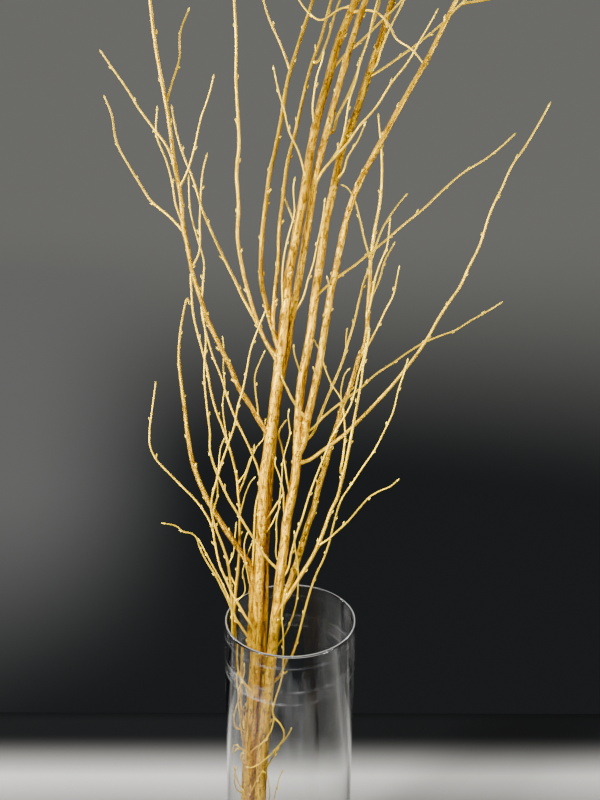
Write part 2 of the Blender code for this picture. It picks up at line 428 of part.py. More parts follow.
def draw_side_twigs():
    twig("front stem", "forked", 3.9, 1.8, 1.5,
         [(-1.5, 40.6), (-1.1, 41.35), (-0.65, 42.1), (-0.13, 43.0), (0.87, 44.8), (1.78, 46.4),
          (2.5, 47.95), (3.1, 49.7), (3.7, 51.6), (4.27, 52.9), (4.58, 54.35), (4.9, 55.85),
          (5.2, 57.65), (5.48, 59.45), (5.8, 61.65),
          (6.13, 63.8), (6.25, 65.2), (6.55, 66.9), (6.7, 68.6)],
         bow=[(0, 0), (0.02, -0.6), (0.06, -0.7), (0.3, -0.9), (1, -1.5)])
    twig("thin right stem", "side", 2.4, 1.4, -3.5,
         [(-1.95, 32.8), (-1.27, 33.2), (-0.86, 33.9), (-0.27, 35.3), (0.22, 36.5), (0.9, 39.05),
          (1.37, 41.25), (1.88, 43.35), (2.4, 45.05), (3.1, 46.7), (3.62, 48.45), (3.98, 50.2),
          (4.65, 52.65), (5.63, 54.3), (6.53, 55.8), (7.52, 57.4), (8.33, 59.15), (9.08, 61), (9.5, 63.1),
          (9.95, 64.7), (10.22, 65.95)])
    twig("arched twig", "front stem", 2.0, 1.3, -4.0,
         [(2.55, 48.0), (3.45, 48.65), (4.33, 49.5), (5.28, 50.45), (6.33, 51.8), (7.35, 53.0),
          (8.37, 53.6), (8.98, 53.85), (9.95, 54.7)])
    twig("inner right twig", "front stem", 2.3, 1.3, 2.0,
         [(4.6, 55.2), (4.68, 56.75), (4.82, 58.55), (4.7, 60.35), (4.4, 62.1), (3.5, 63.5), (2.95, 64.75),
          (2.27, 66.7), (1.73, 67.6)])
    twig("small hooked twig", "inner right twig", 1.5, 1.2, -1.5,
         [(4.55, 61.4), (4.33, 62.8), (4.45, 63.7), (4.63, 64.4), (5.1, 65)])
    twig("bowed twig", "side", 2.2, 1.4, -2.5,
         [(5.9, 66.0), (6.65, 67.1), (7.33, 68.45), (8.0, 70), (8.65, 71.35), (8.95, 73), (9.1, 73.95)])
    twig("near twig", "side", 2.2, 1.4, -2.0,
         [(6.5, 69.6), (6.77, 71.0), (7.02, 72.65), (7.5, 74.25), (7.9, 75.25), (8.1, 77.15), (8.15, 77.9)])
    twig("near fork", "near twig", 1.8, 1.4, 1.5,
         [(6.85, 71.3), (7.4, 72.65), (7.8, 74.25), (8.65, 75.9)])
    twig("curved twig", "side", 1.9, 1.3, -2.5,
         [(6.6, 74.3), (6.05, 75.9), (5.5, 77.9), (4.97, 79.45), (4.3, 80.3), (3.87, 80.45)])
    twig("spare twig", "side", 1.7, 1.3, -3.0,
         [(-1.5, 37.0), (-0.48, 38.75), (0.07, 40.2), (0.43, 41.5), (0.65, 42.85), (0.7, 44.05),
          (0.67, 46), (0.37, 47.9), (0.3, 49.5)])
    twig("wall fork", "thin right stem", 1.6, 1.2, -1.2,
         [(-1.0, 33.6), (-0.57, 33.75), (-0.27, 34.1)])
    twig("straight twig", "side", 1.8, 1.3, -1.8,
         [(-2.5, 22.9), (-2.15, 23.95), (-1.55, 25.1), (-1.05, 26.1), (-0.55, 26.7), (-0.1, 27.4),
          (0.25, 28.15)])
    twig("faint twig", "side", 1.3, 1.0, 1.6,
         [(-2.75, 17.2), (-2.0, 18.6), (-1.5, 20.1), (-1.4, 20.65), (-1.15, 21.65), (-0.9, 22.75),
          (-0.55, 23.45)])
    twig("second faint twig", "side", 1.3, 1.0, 1.2,
         [(-2.73, 18.2), (-2.2, 19.4), (-1.95, 20.4), (-2.05, 21.3), (-2.2, 22.4), (-2.4, 23.4)])


def draw_left_twigs():
    twig("wall stem", "left", 3.4, 1.5, 0.3,
         [(-4.5, 22.4), (-4.45, 24.5), (-4.45, 26.4), (-4.65, 28.0), (-4.88, 29.0), (-5.08, 29.9),
          (-5.22, 30.85),
          (-5.27, 32), (-5.35, 34), (-5.38, 38), (-5.4, 41.0), (-5.3, 43),
          (-5.05, 45.3), (-4.88, 47.5), (-4.83, 50), (-4.8, 51.5), (-4.92, 53.0), (-5.07, 54.85),
          (-5.35, 56.2), (-5.77, 57.8), (-6.3, 59.5), (-6.85, 61), (-7.27, 62.75), (-7.6, 64.8),
          (-7.95, 66.3), (-8.35, 67.9), (-8.65, 69.3), (-8.8, 71.5), (-8.75, 73.3), (-8.1, 74.7),
          (-7.95, 77.4), (-7.8, 79.7), (-7.6, 81.4), (-7.2, 82.8)])
    twig("far left twig", "tall", 2.5, 1.4, 4.0,
         [(-3.3, 38.2), (-3.4, 38.95), (-3.67, 39.43), (-4.07, 40.12), (-4.48, 40.81), (-4.86, 41.57),
          (-5.2, 42.25), (-5.6, 42.95), (-6.15, 44.4), (-6.7, 45.8), (-7.15, 48.05), (-7.42, 49.8),
          (-7.92, 51.0), (-8.83, 52.4), (-9.97, 53.65), (-11.33, 55.15), (-12.4, 56.4), (-12.9, 57.7),
          (-12.9, 58.95), (-12.58, 61.05), (-12.15, 63.6)],
         bow=[(0, 0), (0.04, -0.7), (0.1, -0.8), (0.2, -0.7), (0.3, -0.3), (1, 4.4)])
    twig("crooked twig", "tall", 2.6, 1.2, -3.0,
         [(-3.5, 37.3), (-3.94, 38.06), (-4.21, 38.6), (-4.59, 39.2), (-4.93, 39.78), (-5.17, 40.12),
          (-5.37, 40.58), (-5.6, 41.1), (-5.85, 41.8), (-6.15, 42.65), (-6.5, 43.4), (-7.15, 44.85),
          (-7.93, 46.2), (-8.62, 47.75), (-9.05, 48.95), (-9.4, 49.2), (-10.03, 49.3), (-10.78, 49.9),
          (-12.15, 50.2)],
         bow=[(0, 0), (0.08, -0.5), (0.3, -0.7), (1, -3.2)])
    twig("rising wall twig", "tall", 2.4, 1.2, -1.8,
         [(-3.6, 31.2), (-3.85, 32.0), (-4.35, 32.45), (-4.95, 33.2), (-5.42, 34.1), (-5.65, 35.2),
          (-5.72, 36.6), (-5.68, 38.5), (-5.64, 40.2), (-5.68, 41.2), (-5.82, 42.2), (-6.15, 43.1),
          (-6.88, 44.85), (-7.58, 46.2), (-8.25, 47.65), (-8.75, 48.7)],
         bow=[(0, 0), (0.1, -0.8), (0.35, -1.0), (0.55, -0.9), (1, -1.6)])
    twig("leaning stem", "wall stem", 2.6, 1.5, -1.6,
         [(-5.38, 37.0), (-5.62, 40.6), (-5.72, 43.3), (-5.85, 45.05), (-6.1, 46.7), (-6.63, 48.45),
          (-7.1, 49.8), (-7.45, 51.5), (-7.37, 52.75), (-6.92, 54.4), (-6.4, 56.2), (-5.87, 57.7),
          (-5.15, 59.95), (-4.9, 61.4), (-4.44, 62.95), (-4.08, 64.7), (-3.73, 66.5), (-3.2, 68),
          (-2.35, 70.1)])
    twig("middle left stem", "left", 2.6, 1.4, -2.8,
         [(-3.7, 45.0), (-3.55, 47.3), (-3.45, 49.8), (-3.3, 52.0), (-2.9, 54.3), (-3.06, 55.4),
          (-3.62, 56.95), (-4.3, 58.5), (-4.98, 59.95), (-5.82, 62.2), (-6.33, 64.0), (-7.08, 66),
          (-7.63, 68.1), (-7.93, 69.5), (-7.83, 71.8), (-7.7, 74.2), (-8.1, 75.65), (-8.7, 78.05),
          (-8.8, 81.05)])
    twig("forward twig", "wall stem", 1.9, 1.2, 1.6,
         [(-4.9, 53.2), (-4.5, 54.1), (-4.22, 54.95), (-3.93, 55.85), (-3.65, 56.7), (-3.45, 57.3),
          (-3.43, 57.9)])
    twig("thin forward twig", "wall stem", 1.5, 1.1, -2.0,
         [(-5.0, 54.0), (-4.78, 54.4), (-4.33, 55.05), (-3.8, 56.5), (-3.45, 57.15), (-3.1, 57.8),
          (-2.63, 58.35), (-2.5, 59.5), (-2.38, 60.35)])
    twig("arched forward twig", "wall stem", 1.5, 1.1, -1.4,
         [(-4.8, 51.0), (-4.55, 52.05), (-4.33, 52.9), (-4.07, 53.65), (-3.77, 54.3), (-3.33, 54.8)])
    twig("upright inner twig", "left", 1.5, 1.1, -1.6,
         [(-3.75, 43.3), (-3.97, 44.2), (-4.1, 45), (-4.27, 46), (-4.37, 47.0), (-4.43, 47.75), (-4.35, 48.5),
          (-4.05, 49.4)])
    twig("wandering twig", "wall stem", 1.4, 1.1, -1.3,
         [(-5.3, 42.3), (-4.68, 42.7), (-4.4, 43.2), (-4.45, 44.4), (-4.6, 45.2), (-4.42, 46), (-4.2, 46.8),
          (-3.92, 47.65), (-3.65, 48.3)])
    twig("wall twig", "left", 1.9, 1.3, -1.0,
         [(-4.35, 27.6), (-4.9, 28.0), (-5.4, 28.2), (-5.66, 28.8), (-5.64, 29.9), (-5.5, 30.5),
          (-5.35, 31.2),
          (-5.33, 31.7), (-5.5, 32.45), (-5.66, 33.2), (-5.72, 34.1)],
         bow=[(0, 0), (0.2, -1.3), (0.6, -1.5), (1, -1.0)])
    twig("tangled twig", "left", 1.6, 1.2, -1.2,
         [(-4.25, 29.6), (-4.7, 30.0), (-5.0, 30.6), (-5.03, 31.2), (-5.2, 31.8), (-5.3, 32.4),
          (-5.15, 32.75),
          (-4.9, 33.4), (-4.72, 34.1), (-4.75, 35.2)],
         bow=[(0, 0), (0.2, -1.2), (0.6, -1.6), (1, -1.4)])
    twig("low tangled twig", "left", 1.8, 1.2, -1.0,
         [(-4.4, 25.4), (-4.7, 26.6), (-4.97, 28.2), (-5.14, 29.5), (-5.36, 30.6), (-5.45, 31.6)],
         bow=[(0, 0), (0.25, -1.3), (0.6, -2.0), (1, -2.2)])
    twig("knotted twig", "left", 1.7, 1.2, -1.0,
         [(-4.35, 26.6), (-4.55, 27.6), (-4.75, 28.7), (-4.62, 29.5), (-4.35, 30.1), (-4.5, 31.2),
          (-4.85, 32.1)],
         bow=[(0, 0), (0.25, -1.0), (1, -1.3)])
    twig("pale twig", "wall stem", 1.5, 1.2, -1.6,
         [(-5.85, 58.1), (-6.09, 59.75), (-6.25, 61.5), (-6.03, 63.35), (-6.14, 64.7), (-6.1, 66.8),
          (-6.18, 67.7)])
    twig("bridge twig", "leaning stem", 1.4, 1.2, 1.2,
         [(-6.75, 55.0), (-6.67, 56.1), (-6.45, 57.7), (-6.05, 58.6)])
    twig("paired twig", "far left twig", 1.6, 1.2, -1.5,
         [(-7.4, 49.7), (-7.22, 51.6), (-6.87, 52.85), (-6.87, 54.4), (-6.9, 55.6)])
    twig("rising loop", "wall stem", 1.6, 1.2, 1.6,
         [(-5.2, 43.7), (-5.93, 45.9), (-5.48, 47.05), (-5.3, 48.7), (-5.12, 50.4)])


def crown_twig(name, carrier, index, turn, length, rng):
    """A twig that follows the rule of the crown: it leaves at an angle and bends upwards."""
    root = carrier.line[index]
    stem_way = carrier.line[index + 1] - carrier.line[index - 1]
    stem_way = stem_way / np.linalg.norm(stem_way)
    side = np.cross(stem_way, [0.0, 1.0, 0.0])
    side = side / np.linalg.norm(side)
    other = np.cross(stem_way, side)
    spread = rng.uniform(-CROWN_SPREAD, CROWN_SPREAD)
    best = None
    for extra in CROWN_OTHER_TURNS:
        angle = turn + extra
        outward = side * math.cos(angle) + other * math.sin(angle)
        way = stem_way * math.cos(CROWN_ANGLE + spread) + outward * math.sin(CROWN_ANGLE + spread)
        points = [root]
        count = max(4, round(length / CROWN_STEP))
        for step in range(count):
            points.append(points[-1] + way * length / count)
            wave = CROWN_WAVE * math.sin(CROWN_WAVE_TURN * step + turn)
            way = way + np.array([0.0, 0.0, CROWN_RISE]) + outward * wave
            way = way / np.linalg.norm(way)
        line = np.array(points)
        radii = np.linspace(CROWN_THICKNESS, CROWN_THICKNESS * CROWN_TAPER, len(line)) / 2
        stem = Stem(name, carrier.branch, carrier.name, line[:, ::2], line[:, 1], radii)
        stem.line = line
        stem.radii = radii
        lack = shortfall(room_for(line, radii, carrier.branch))
        if best is None or lack < best[0] - 1e-9:
            best = (lack, stem)
        if lack == 0.0:
            break
    STEMS[name] = best[1]


def draw_crown():
    """Twigs on the upper stems, alternating round each of them, shorter towards its tip."""
    rng = random.Random(11)
    for carrier in [stem for stem in STEMS.values() if stem.line[-1, 2] > CROWN_START]:
        turn = rng.uniform(0.0, 2 * math.pi)
        tip = lengths_along(carrier.line)
        last = None
        for index in range(1, len(carrier.line) - 1):
            left = tip[-1] - tip[index]
            if carrier.line[index, 2] < CROWN_START or left < CROWN_BARE_TIP:
                continue
            if last is not None and tip[index] - last < CROWN_SPACING * CROWN_CLOSEST:
                continue
            last = tip[index]
            turn += CROWN_TURN
            length = min(CROWN_TWIG, CROWN_SHORTEST + CROWN_SHARE_LEFT * left) * rng.uniform(*CROWN_VARIES)
            crown_twig(f"{carrier.name} crown {index}", carrier, index, turn, length, rng)


def bud_places(stem):
    """Places and directions of a twig's buds, alternating from side to side, tip bud last."""
    along = lengths_along(stem.line)
    rng = random.Random(sum(ord(letter) for letter in stem.name))
    places = []
    place = BUD_SPACING * rng.uniform(*BUD_FIRST)
    side = 1.0 if rng.random() < 0.5 else -1.0
    while place < along[-1] - BUD_LAST * BUD_SPACING:
        radius = np.interp(place, along, stem.radii)
        centre = Vector([np.interp(place, along, stem.line[:, axis]) for axis in range(3)])
        ahead = Vector([np.interp(place + BUD_LOOK_AHEAD, along, stem.line[:, axis]) for axis in range(3)])
        way = (ahead - centre).normalized()
        outward = way.cross(Vector((0.0, 1.0, 0.0)))
        outward = (outward.normalized() + Vector((0.0, rng.uniform(-BUD_TURN, BUD_TURN), 0.0))) * side
        outward = (outward - way * outward.dot(way)).normalized()
        if radius < MAIN_STEM:
            places.append((centre, way, outward, radius))
        place += BUD_SPACING * rng.uniform(*BUD_NEXT)
        side = -side
    return places


def new_collection(name):
    collection = bpy.data.collections.new(name)
    bpy.context.scene.collection.children.link(collection)
    return collection


def add_object(name, mesh, collection, material):
    mesh.materials.clear()
    mesh.materials.append(material)
    made = bpy.data.objects.new(name, mesh)
    collection.objects.link(made)
    return made


def principled(name, colour, roughness, metallic, transmission=0.0):
    material = bpy.data.materials.new(name)
    material.use_nodes = True
    shader = material.node_tree.nodes["Principled BSDF"]
    shader.inputs["Base Color"].default_value = (*colour, 1.0)
    shader.inputs["Roughness"].default_value = roughness
    shader.inputs["Metallic"].default_value = metallic
    shader.inputs["Transmission Weight"].default_value = transmission
    return material


def thinned(stem):
    """The points of a line that its shape needs, ends included."""
    keep = {0, len(stem.line) - 1}
    spans = [(0, len(stem.line) - 1)]
    while spans:
        first, last = spans.pop()
        if last - first < 2:
            continue
        start, run = stem.line[first], stem.line[last] - stem.line[first]
        offsets = stem.line[first + 1:last] - start
        along = np.clip(offsets @ run / np.dot(run, run), 0, 1)
        apart = np.linalg.norm(offsets - along[:, None] * run, axis=1)
        worst = int(apart.argmax())
        if apart[worst] > ROUTE_TOLERANCE:
            middle = first + 1 + worst
            keep.add(middle)
            spans += [(first, middle), (middle, last)]
    return sorted(keep)


def tube(stem):
    """A stem's tube as a closed mesh, from a curve whose points carry the stem's thickness."""
    curve = bpy.data.curves.new(stem.name, "CURVE")
    curve.dimensions = "3D"
    curve.bevel_depth = 1.0
    curve.bevel_resolution = 2 if stem.radii[0] > MAIN_STEM else 1 if stem.radii[0] > SIDE_STEM else 0
    curve.use_fill_caps = True
    kept = thinned(stem)
    spline = curve.splines.new("POLY")
    spline.points.add(len(kept) - 1)
    for point, index in zip(spline.points, kept):
        point.co = (*stem.line[index], 1.0)
        point.radius = stem.radii[index]
    guide = bpy.data.objects.new(stem.name, curve)
    bpy.context.scene.collection.objects.link(guide)
    bpy.context.view_layer.update()
    evaluated = guide.evaluated_get(bpy.context.evaluated_depsgraph_get())
    mesh = bpy.data.meshes.new_from_object(evaluated)
    bpy.data.objects.remove(guide)
    shape = bmesh.new()
    shape.from_mesh(mesh)
    bmesh.ops.remove_doubles(shape, verts=shape.verts, dist=WELD)
    bmesh.ops.recalc_face_normals(shape, faces=shape.faces)
    shape.to_mesh(mesh)
    shape.free()
    return mesh


def bud(centre, way, outward, radius):
    """A pointed bud that leans away from the twig."""
    shape = bmesh.new()
    bmesh.ops.create_cone(shape, cap_ends=True, segments=BUD_SIDES, radius1=BUD_HALF_WIDTH,
                          radius2=BUD_HALF_WIDTH * BUD_TIP_SHARE, depth=BUD_LENGTH)
    lean = (way * math.cos(BUD_ANGLE) + outward * math.sin(BUD_ANGLE)).normalized()
    turn = lean.to_track_quat("Z", "Y").to_matrix()
    foot = centre + outward * max(radius - BUD_SUNK * BUD_HALF_WIDTH, 0.0)
    for vertex in shape.verts:
        vertex.co = turn @ (vertex.co + Vector((0.0, 0.0, BUD_SUNK * BUD_LENGTH))) + foot
    mesh = bpy.data.meshes.new("bud")
    shape.to_mesh(mesh)
    shape.free()
    return mesh


def bud_has_room(tip, branch):
    """Whether a bud's tip clears the other branches and the vase's wall."""
    spot = np.array([tip])
    reach = np.array([BUD_HALF_WIDTH])
    others = (stem for stem in STEMS.values() if stem.branch != branch)
    wall = VASE_DIAMETER / 2 - VASE_WALL - math.hypot(tip[0], tip[1]) - BUD_HALF_WIDTH
    inside = tip[2] < VASE_HEIGHT + BUD_LENGTH and wall < CLEAR_OF_WALL
    return not inside and min(gap_to_stem(spot, reach, stem) for stem in others) > CLEAR_OF_TWIGS


def build_branch(name, collection, material):
    """All stems, twigs and buds of one branch, joined into one body."""
    stems = [stem for stem in STEMS.values() if stem.branch == name]
    grown = new_collection(name + " pieces")
    for number, stem in enumerate(stems[1:]):
        add_object(f"{name} piece {number}", tube(stem), grown, material)
    for number, stem in enumerate(stems):
        for centre, way, outward, radius in bud_places(stem)[::BUDS_SKIPPED]:
            end = centre + way * BUD_LENGTH + outward * (radius + BUD_LENGTH * math.sin(BUD_ANGLE))
            if bud_has_room(end, name):
                add_object(f"{name} bud {number}", bud(centre, way, outward, radius), grown, material)
    branch = add_object(name, tube(stems[0]), collection, material)
    union = branch.modifiers.new("grown together", "BOOLEAN")
    union.operation = "UNION"
    union.operand_type = "COLLECTION"
    union.collection = grown
    union.solver = "EXACT"
    bpy.context.view_layer.update()
    evaluated = branch.evaluated_get(bpy.context.evaluated_depsgraph_get())
    joined = bpy.data.meshes.new_from_object(evaluated)
    branch.modifiers.clear()
    branch.data = joined
    for piece in list(grown.objects):
        bpy.data.objects.remove(piece)
    bpy.data.collections.remove(grown)
    joined.shade_smooth()
    joined.set_sharp_from_angle(angle=SHARP_EDGE)


def vase_profile():
    """Half of the vase's section: floor, inner wall, rounded rim, outer wall, rounded foot."""
    outer = VASE_DIAMETER / 2
    inner = outer - VASE_WALL
    rim = VASE_WALL / 2
    points = [(0.0, VASE_BASE), (inner - VASE_FOOT_ROUNDING, VASE_BASE)]
    for step in range(1, 4):
        angle = math.radians(-90 + 30 * step)
        points.append((inner - VASE_FOOT_ROUNDING * (1 - math.cos(angle)),
                       VASE_BASE + VASE_FOOT_ROUNDING * (1 + math.sin(angle))))
    for step in range(7):
        angle = math.radians(180 - 30 * step)
        points.append((outer - rim + rim * math.cos(angle), VASE_HEIGHT - rim + rim * math.sin(angle)))
    for step in range(4):
        angle = math.radians(-30 * step)
        points.append((outer - VASE_FOOT_ROUNDING * (1 - math.cos(angle)),
                       VASE_FOOT_ROUNDING * (1 + math.sin(angle))))
    points.append((0.0, 0.0))
    return points


def build_vase(collection, material):
    mesh = bpy.data.meshes.new("vase")
    profile = vase_profile()
    edges = [(index, index + 1) for index in range(len(profile) - 1)]
    mesh.from_pydata([(x, 0.0, z) for x, z in profile], edges, [])
    vase = add_object("vase", mesh, collection, material)
    turn = vase.modifiers.new("turned", "SCREW")
    turn.steps = VASE_STEPS
    turn.render_steps = VASE_STEPS
    turn.use_merge_vertices = True
    turn.merge_threshold = WELD
    turn.use_smooth_shade = True


def main():
    for old in list(bpy.data.objects):
        bpy.data.objects.remove(old)
    draw_main_stems()
    draw_tall_twigs()
    draw_middle_twigs()
    draw_forked_twigs()
    draw_side_twigs()
    draw_left_twigs()
    draw_vase_twigs()
    draw_crossing_twigs()
    draw_crown()
    collection = new_collection("birch branches in a vase")
    gold = principled("gilded bark", (0.78, 0.53, 0.20), 0.45, 0.35)
    glass = principled("clear glass", (0.95, 0.97, 0.96), 0.03, 0.0, transmission=1.0)
    build_vase(collection, glass)
    for name in ("branch_tall", "branch_middle", "branch_forked", "branch_side", "branch_left"):
        build_branch(name, collection, gold)


main()
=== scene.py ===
"""The looks of gilded birch branches in a clear glass vase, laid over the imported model.

Metres, +Z up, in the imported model's frame. The routes and the rules that place every stem, twig
and bud are the same as in the part's source, so each finer branch stays where its node is.
"""
import json
import math
import random

import bpy
import numpy as np
from mathutils import Matrix, Vector

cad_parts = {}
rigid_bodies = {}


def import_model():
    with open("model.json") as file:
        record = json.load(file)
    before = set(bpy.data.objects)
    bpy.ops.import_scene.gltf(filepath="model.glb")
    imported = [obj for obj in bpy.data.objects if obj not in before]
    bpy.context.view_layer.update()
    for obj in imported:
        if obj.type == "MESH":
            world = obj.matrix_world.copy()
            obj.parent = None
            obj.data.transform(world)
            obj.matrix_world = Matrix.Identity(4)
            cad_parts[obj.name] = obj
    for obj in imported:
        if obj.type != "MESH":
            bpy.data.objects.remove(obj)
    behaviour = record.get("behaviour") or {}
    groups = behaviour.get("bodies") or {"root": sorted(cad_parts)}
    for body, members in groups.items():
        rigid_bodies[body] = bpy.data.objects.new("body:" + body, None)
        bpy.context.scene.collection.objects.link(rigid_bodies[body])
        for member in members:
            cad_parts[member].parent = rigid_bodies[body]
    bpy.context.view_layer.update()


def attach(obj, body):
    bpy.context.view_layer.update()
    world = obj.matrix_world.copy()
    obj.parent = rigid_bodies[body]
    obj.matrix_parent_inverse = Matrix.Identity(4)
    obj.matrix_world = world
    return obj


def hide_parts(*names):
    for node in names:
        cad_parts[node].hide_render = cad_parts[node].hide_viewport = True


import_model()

# The vase
VASE_DIAMETER = 0.127
VASE_HEIGHT = 0.406
VASE_WALL = 0.0030
VASE_BASE = 0.0120
VASE_FOOT_ROUNDING = 0.0025
WELD = 0.00001
VASE_SIDES = 192
FOOT_STEPS = 8
RIM_STEPS = 12

# The branches
SEAT_GAP = 0.0003
CLEAR_OF_BRANCHES = 0.0018
CLEAR_OF_TWIGS = 0.0012
CLEAR_OF_WALL = 0.0008
DEPTH_STEP = 0.008
DEPTH_STEPS = 11
DEPTH_BENDS = (1.2, 0.6)
ROOT_ZONE = 0.018
ROOT_ZONE_PER_RADIUS = 9.0
WEIGHT_OF_OVERLAP = 10
HARDLY_LESS = 1e-9
SAMPLE_SPACING = 0.0035
MAIN_STEM = 0.0030
SIDE_STEM = 0.0015
BUD_LENGTH = 0.0044
BUD_HALF_WIDTH = 0.0010
BUD_SPACING = 0.032
BUD_FIRST = (0.9, 1.3)
BUD_NEXT = (0.85, 1.2)
BUD_LAST = 0.6
BUD_TURN = 0.8
LOOK_AHEAD = 0.004
BUD_ANGLE = math.radians(24)

# The twigs of the crown, which follow a rule
CROWN_START = 0.96
CROWN_SPACING = 0.048
CROWN_CLOSEST = 0.8
CROWN_TWIG = 0.115
CROWN_VARIES = (0.85, 1.15)
CROWN_ANGLE = math.radians(40)
CROWN_TURN = math.radians(137.5)
CROWN_THICKNESS = 0.0021
CROWN_TAPER = 0.6
CROWN_SPREAD = 0.06
CROWN_STEP = 0.018
CROWN_RISE = 0.07
CROWN_WAVE = 0.05
CROWN_WAVE_TURN = 2.1
CROWN_OTHER_TURNS = (0.0, 0.5, -0.5, 1.0, -1.0, 1.5, -1.5, 2.0, -2.0)
CROWN_SHORTEST = 0.03
CROWN_SHARE_LEFT = 0.55
CROWN_BARE_TIP = 0.02
CROWN_SEED = 11

# Routes are drawn in centimetres on the upright plane Y = 0, as seen from this point.
# Giving a point a depth moves it along the line of sight, so the front view keeps the drawing.
EYE = np.array([0.0, -0.527, 0.729])
CENTIMETRE = 0.01
MILLIMETRE = 0.001

# Sides and spacing of the rings round a stem, by the thickness of its root, and the share of
# their solid's thickness that thin twigs have
THICK_SIDES = 28
MIDDLE_SIDES = 14
THIN_SIDES = 9
THICK_SPACING = 0.0022
MIDDLE_SPACING = 0.0026
THIN_SPACING = 0.0032
TWIG_SHARE = 0.90

# Swollen places of a stem, as shares of its half thickness: at buds, at forks and at its root.
# Each reaches so many half thicknesses and a little more.
BUD_SWELLING = 0.12
BUD_REACH = (1.6, 0.0012)
FORK_SWELLING = 0.16
FORK_SWELLING_THICK = 0.05
FORK_REACH = (2.2, 0.003)
COLLAR = 0.0007
COLLAR_MOST = 0.6
COLLAR_REACH = (1.5, 0.001)

# Ridges round a stem, as (number, height, drift along it), and waves along it, as (length, height)
RIDGES = ((2, 0.022, 9.0), (3, 0.02, 14.0), (5, 0.014, 23.0), (8, 0.010, 40.0))
WAVES = ((0.11, 0.018), (0.037, 0.014), (0.015, 0.010))

# Tips and feet of stems
THINNEST_AT_TIP = 0.35
FOOT_SHARE = 0.93
PALE_END = 0.012
PALE_OF_TWIGS = 0.6
TIP_BUD = 0.0042
TIP_BUD_SUNK = 0.85
TIP_BUD_WIDER = 1.4
TIP_BUD_LEAST = 0.0008
TIP_SET_BACK = 0.0006

# Buds, ringed spurs and knobs, whose profiles are (share of the length, share of the half width)
TURNED_SIDES = 8
TURNED_PALE = (0.35, 0.65)
BUD_PROFILE = [(0.0, 0.50), (0.10, 0.82), (0.30, 1.0), (0.46, 0.98), (0.50, 0.84), (0.70, 0.66),
               (0.88, 0.34), (1.0, 0.08)]
BUD_SHARE = 0.85
BUD_SIZES = (0.8, 1.1)
BUD_SUNK = 0.3
BUD_PALE = 0.9
SPUR_SHARE = 0.45
SPUR_STEM = 0.0008
SPUR_ANGLES = (26, 42)
SPUR_LENGTHS = (0.0008, 0.0018)
SPUR_SUNK = 0.4
SPUR_FOOT = 0.6
SPUR_HEAD = 0.9
SPUR_HEAD_WAY = (0.8, 0.2)
SPUR_BUD = 0.0028
SPUR_HALF_WIDTH = 0.00075
SPUR_PALE = 0.25
SPUR_RINGS = 8
SPUR_PROFILE = [(0.0, 1.5)] + [
    (ring / SPUR_RINGS, (1.12 if ring % 2 else 0.9) - 0.1 * ring / SPUR_RINGS)
    for ring in range(1, SPUR_RINGS + 1)]
KNOB_SPACING = 0.05
KNOB_FIRST = (0.5, 1.5)
KNOB_NEXT = (0.6, 1.5)
KNOB_STEM = MAIN_STEM * 0.6
KNOB_WAY = (0.85, 0.5)
KNOB_HEIGHTS = [0.0010, 0.0012, 0.0030]
KNOB_WIDTHS = (0.0009, 0.0014)
KNOB_SUNK = 0.0008
KNOB_CLEAR = 0.001
KNOB_PALE = 0.3
KNOB_PROFILE = [(0.0, 1.6), (0.4, 1.2), (0.8, 1.0), (1.0, 0.7), (1.0, 0.2)]

# What keeps a stem's random draws apart, and how far its texture is moved at most
BARK_DRAWS = 7
BUD_DRAWS = 3
KNOB_DRAWS = 5
GRAIN_OFFSET = 5

# The gold paint and what shows through it. Brown also serves as painted shade in the grooves, and
# pale gold as a painted highlight on the streaks
OLD_GOLD = (0.32, 0.165, 0.0)
DEEP_GOLD = (0.55, 0.285, 0.0)
LIGHT_GOLD = (0.84, 0.465, 0.0)
PALE_GOLD = (1.00, 0.690, 0.012)
CREAM = (1.00, 0.820, 0.090)
BROWN = (0.12, 0.044, 0.0)
BARK_GLOSS = (1.0, 0.6, 0.1)
BARK_METALLIC = 0.65
BARK_ROUGHNESS = (0.28, 0.46)
BARK_RELIEF = 0.0014
CREAM_ON_BUDS = 0.7

# Textures: stretch across and along, scale, detail, roughness
BLOTCHES = ((1.0, 1.0, 0.5), 140.0, 4.0, 0.55)
STREAKS = ((1.0, 1.0, 0.13), 430.0, 5.0, 0.62)
PITS = ((1.0, 1.0, 0.55), 400.0, 3.0, 0.65)
MARKS = ((0.30, 0.30, 1.8), 300.0, 1.0, 0.4)
WIPES = ((1.0, 1.0, 0.16), 60.0, 4.0, 0.6)

# Ramps over a stem's half thickness or a texture, as (start, end, share at start, share at end)
TWIG_TO_STEM = (0.0008, 0.0026, 0.0, 1.0)
LIGHT_BLOTCHES = (0.36, 0.62, 0.0, 1.0)
OLD_ON_THIN_STEMS = (0.0024, 0.0048, 0.60, 0.0)
# Pale gold on the high streaks: lighter grain in the paint, and also a painted highlight speckle
PALE_STREAKS_AND_HIGHLIGHT = (0.53, 0.66, 0.0, 0.8)
PALE_TWIGS = (0.0006, 0.0020, 0.70, 0.0)
# Brown in the low grooves between the streaks: painted shade
BROWN_GROOVE_SHADE = (0.37, 0.47, 0.85, 0.0)
BROWN_PITS = (0.53, 0.62, 0.0, 0.8)
BROWN_MARKS = (0.64, 0.72, 0.0, 0.45)
WIPE_HAZE = (0.50, 0.75, 0.0, 0.025)
BROKEN_MARKS = (0.42, 0.60, 0.15, 1.0)

# The glass, with faint water marks as (height, strength), and the film between the lower two
GLASS = (0.98, 0.985, 0.98)
GLASS_GLOSS = (0.3, 0.3, 0.3)
# A thin milky band along the top of the rim, which is a painted highlight: depths below the top, and
# its strength
RIM_HIGHLIGHT_DEPTHS = (0.0002, 0.00005)
RIM_HIGHLIGHT_STRENGTH = 0.28
WATER_MARKS = ((0.3940, 0.06), (0.3710, 0.11), (0.3586, 0.12))
WATER_MARK_WIDTH = 0.0009
WATER_FILM = 0.018
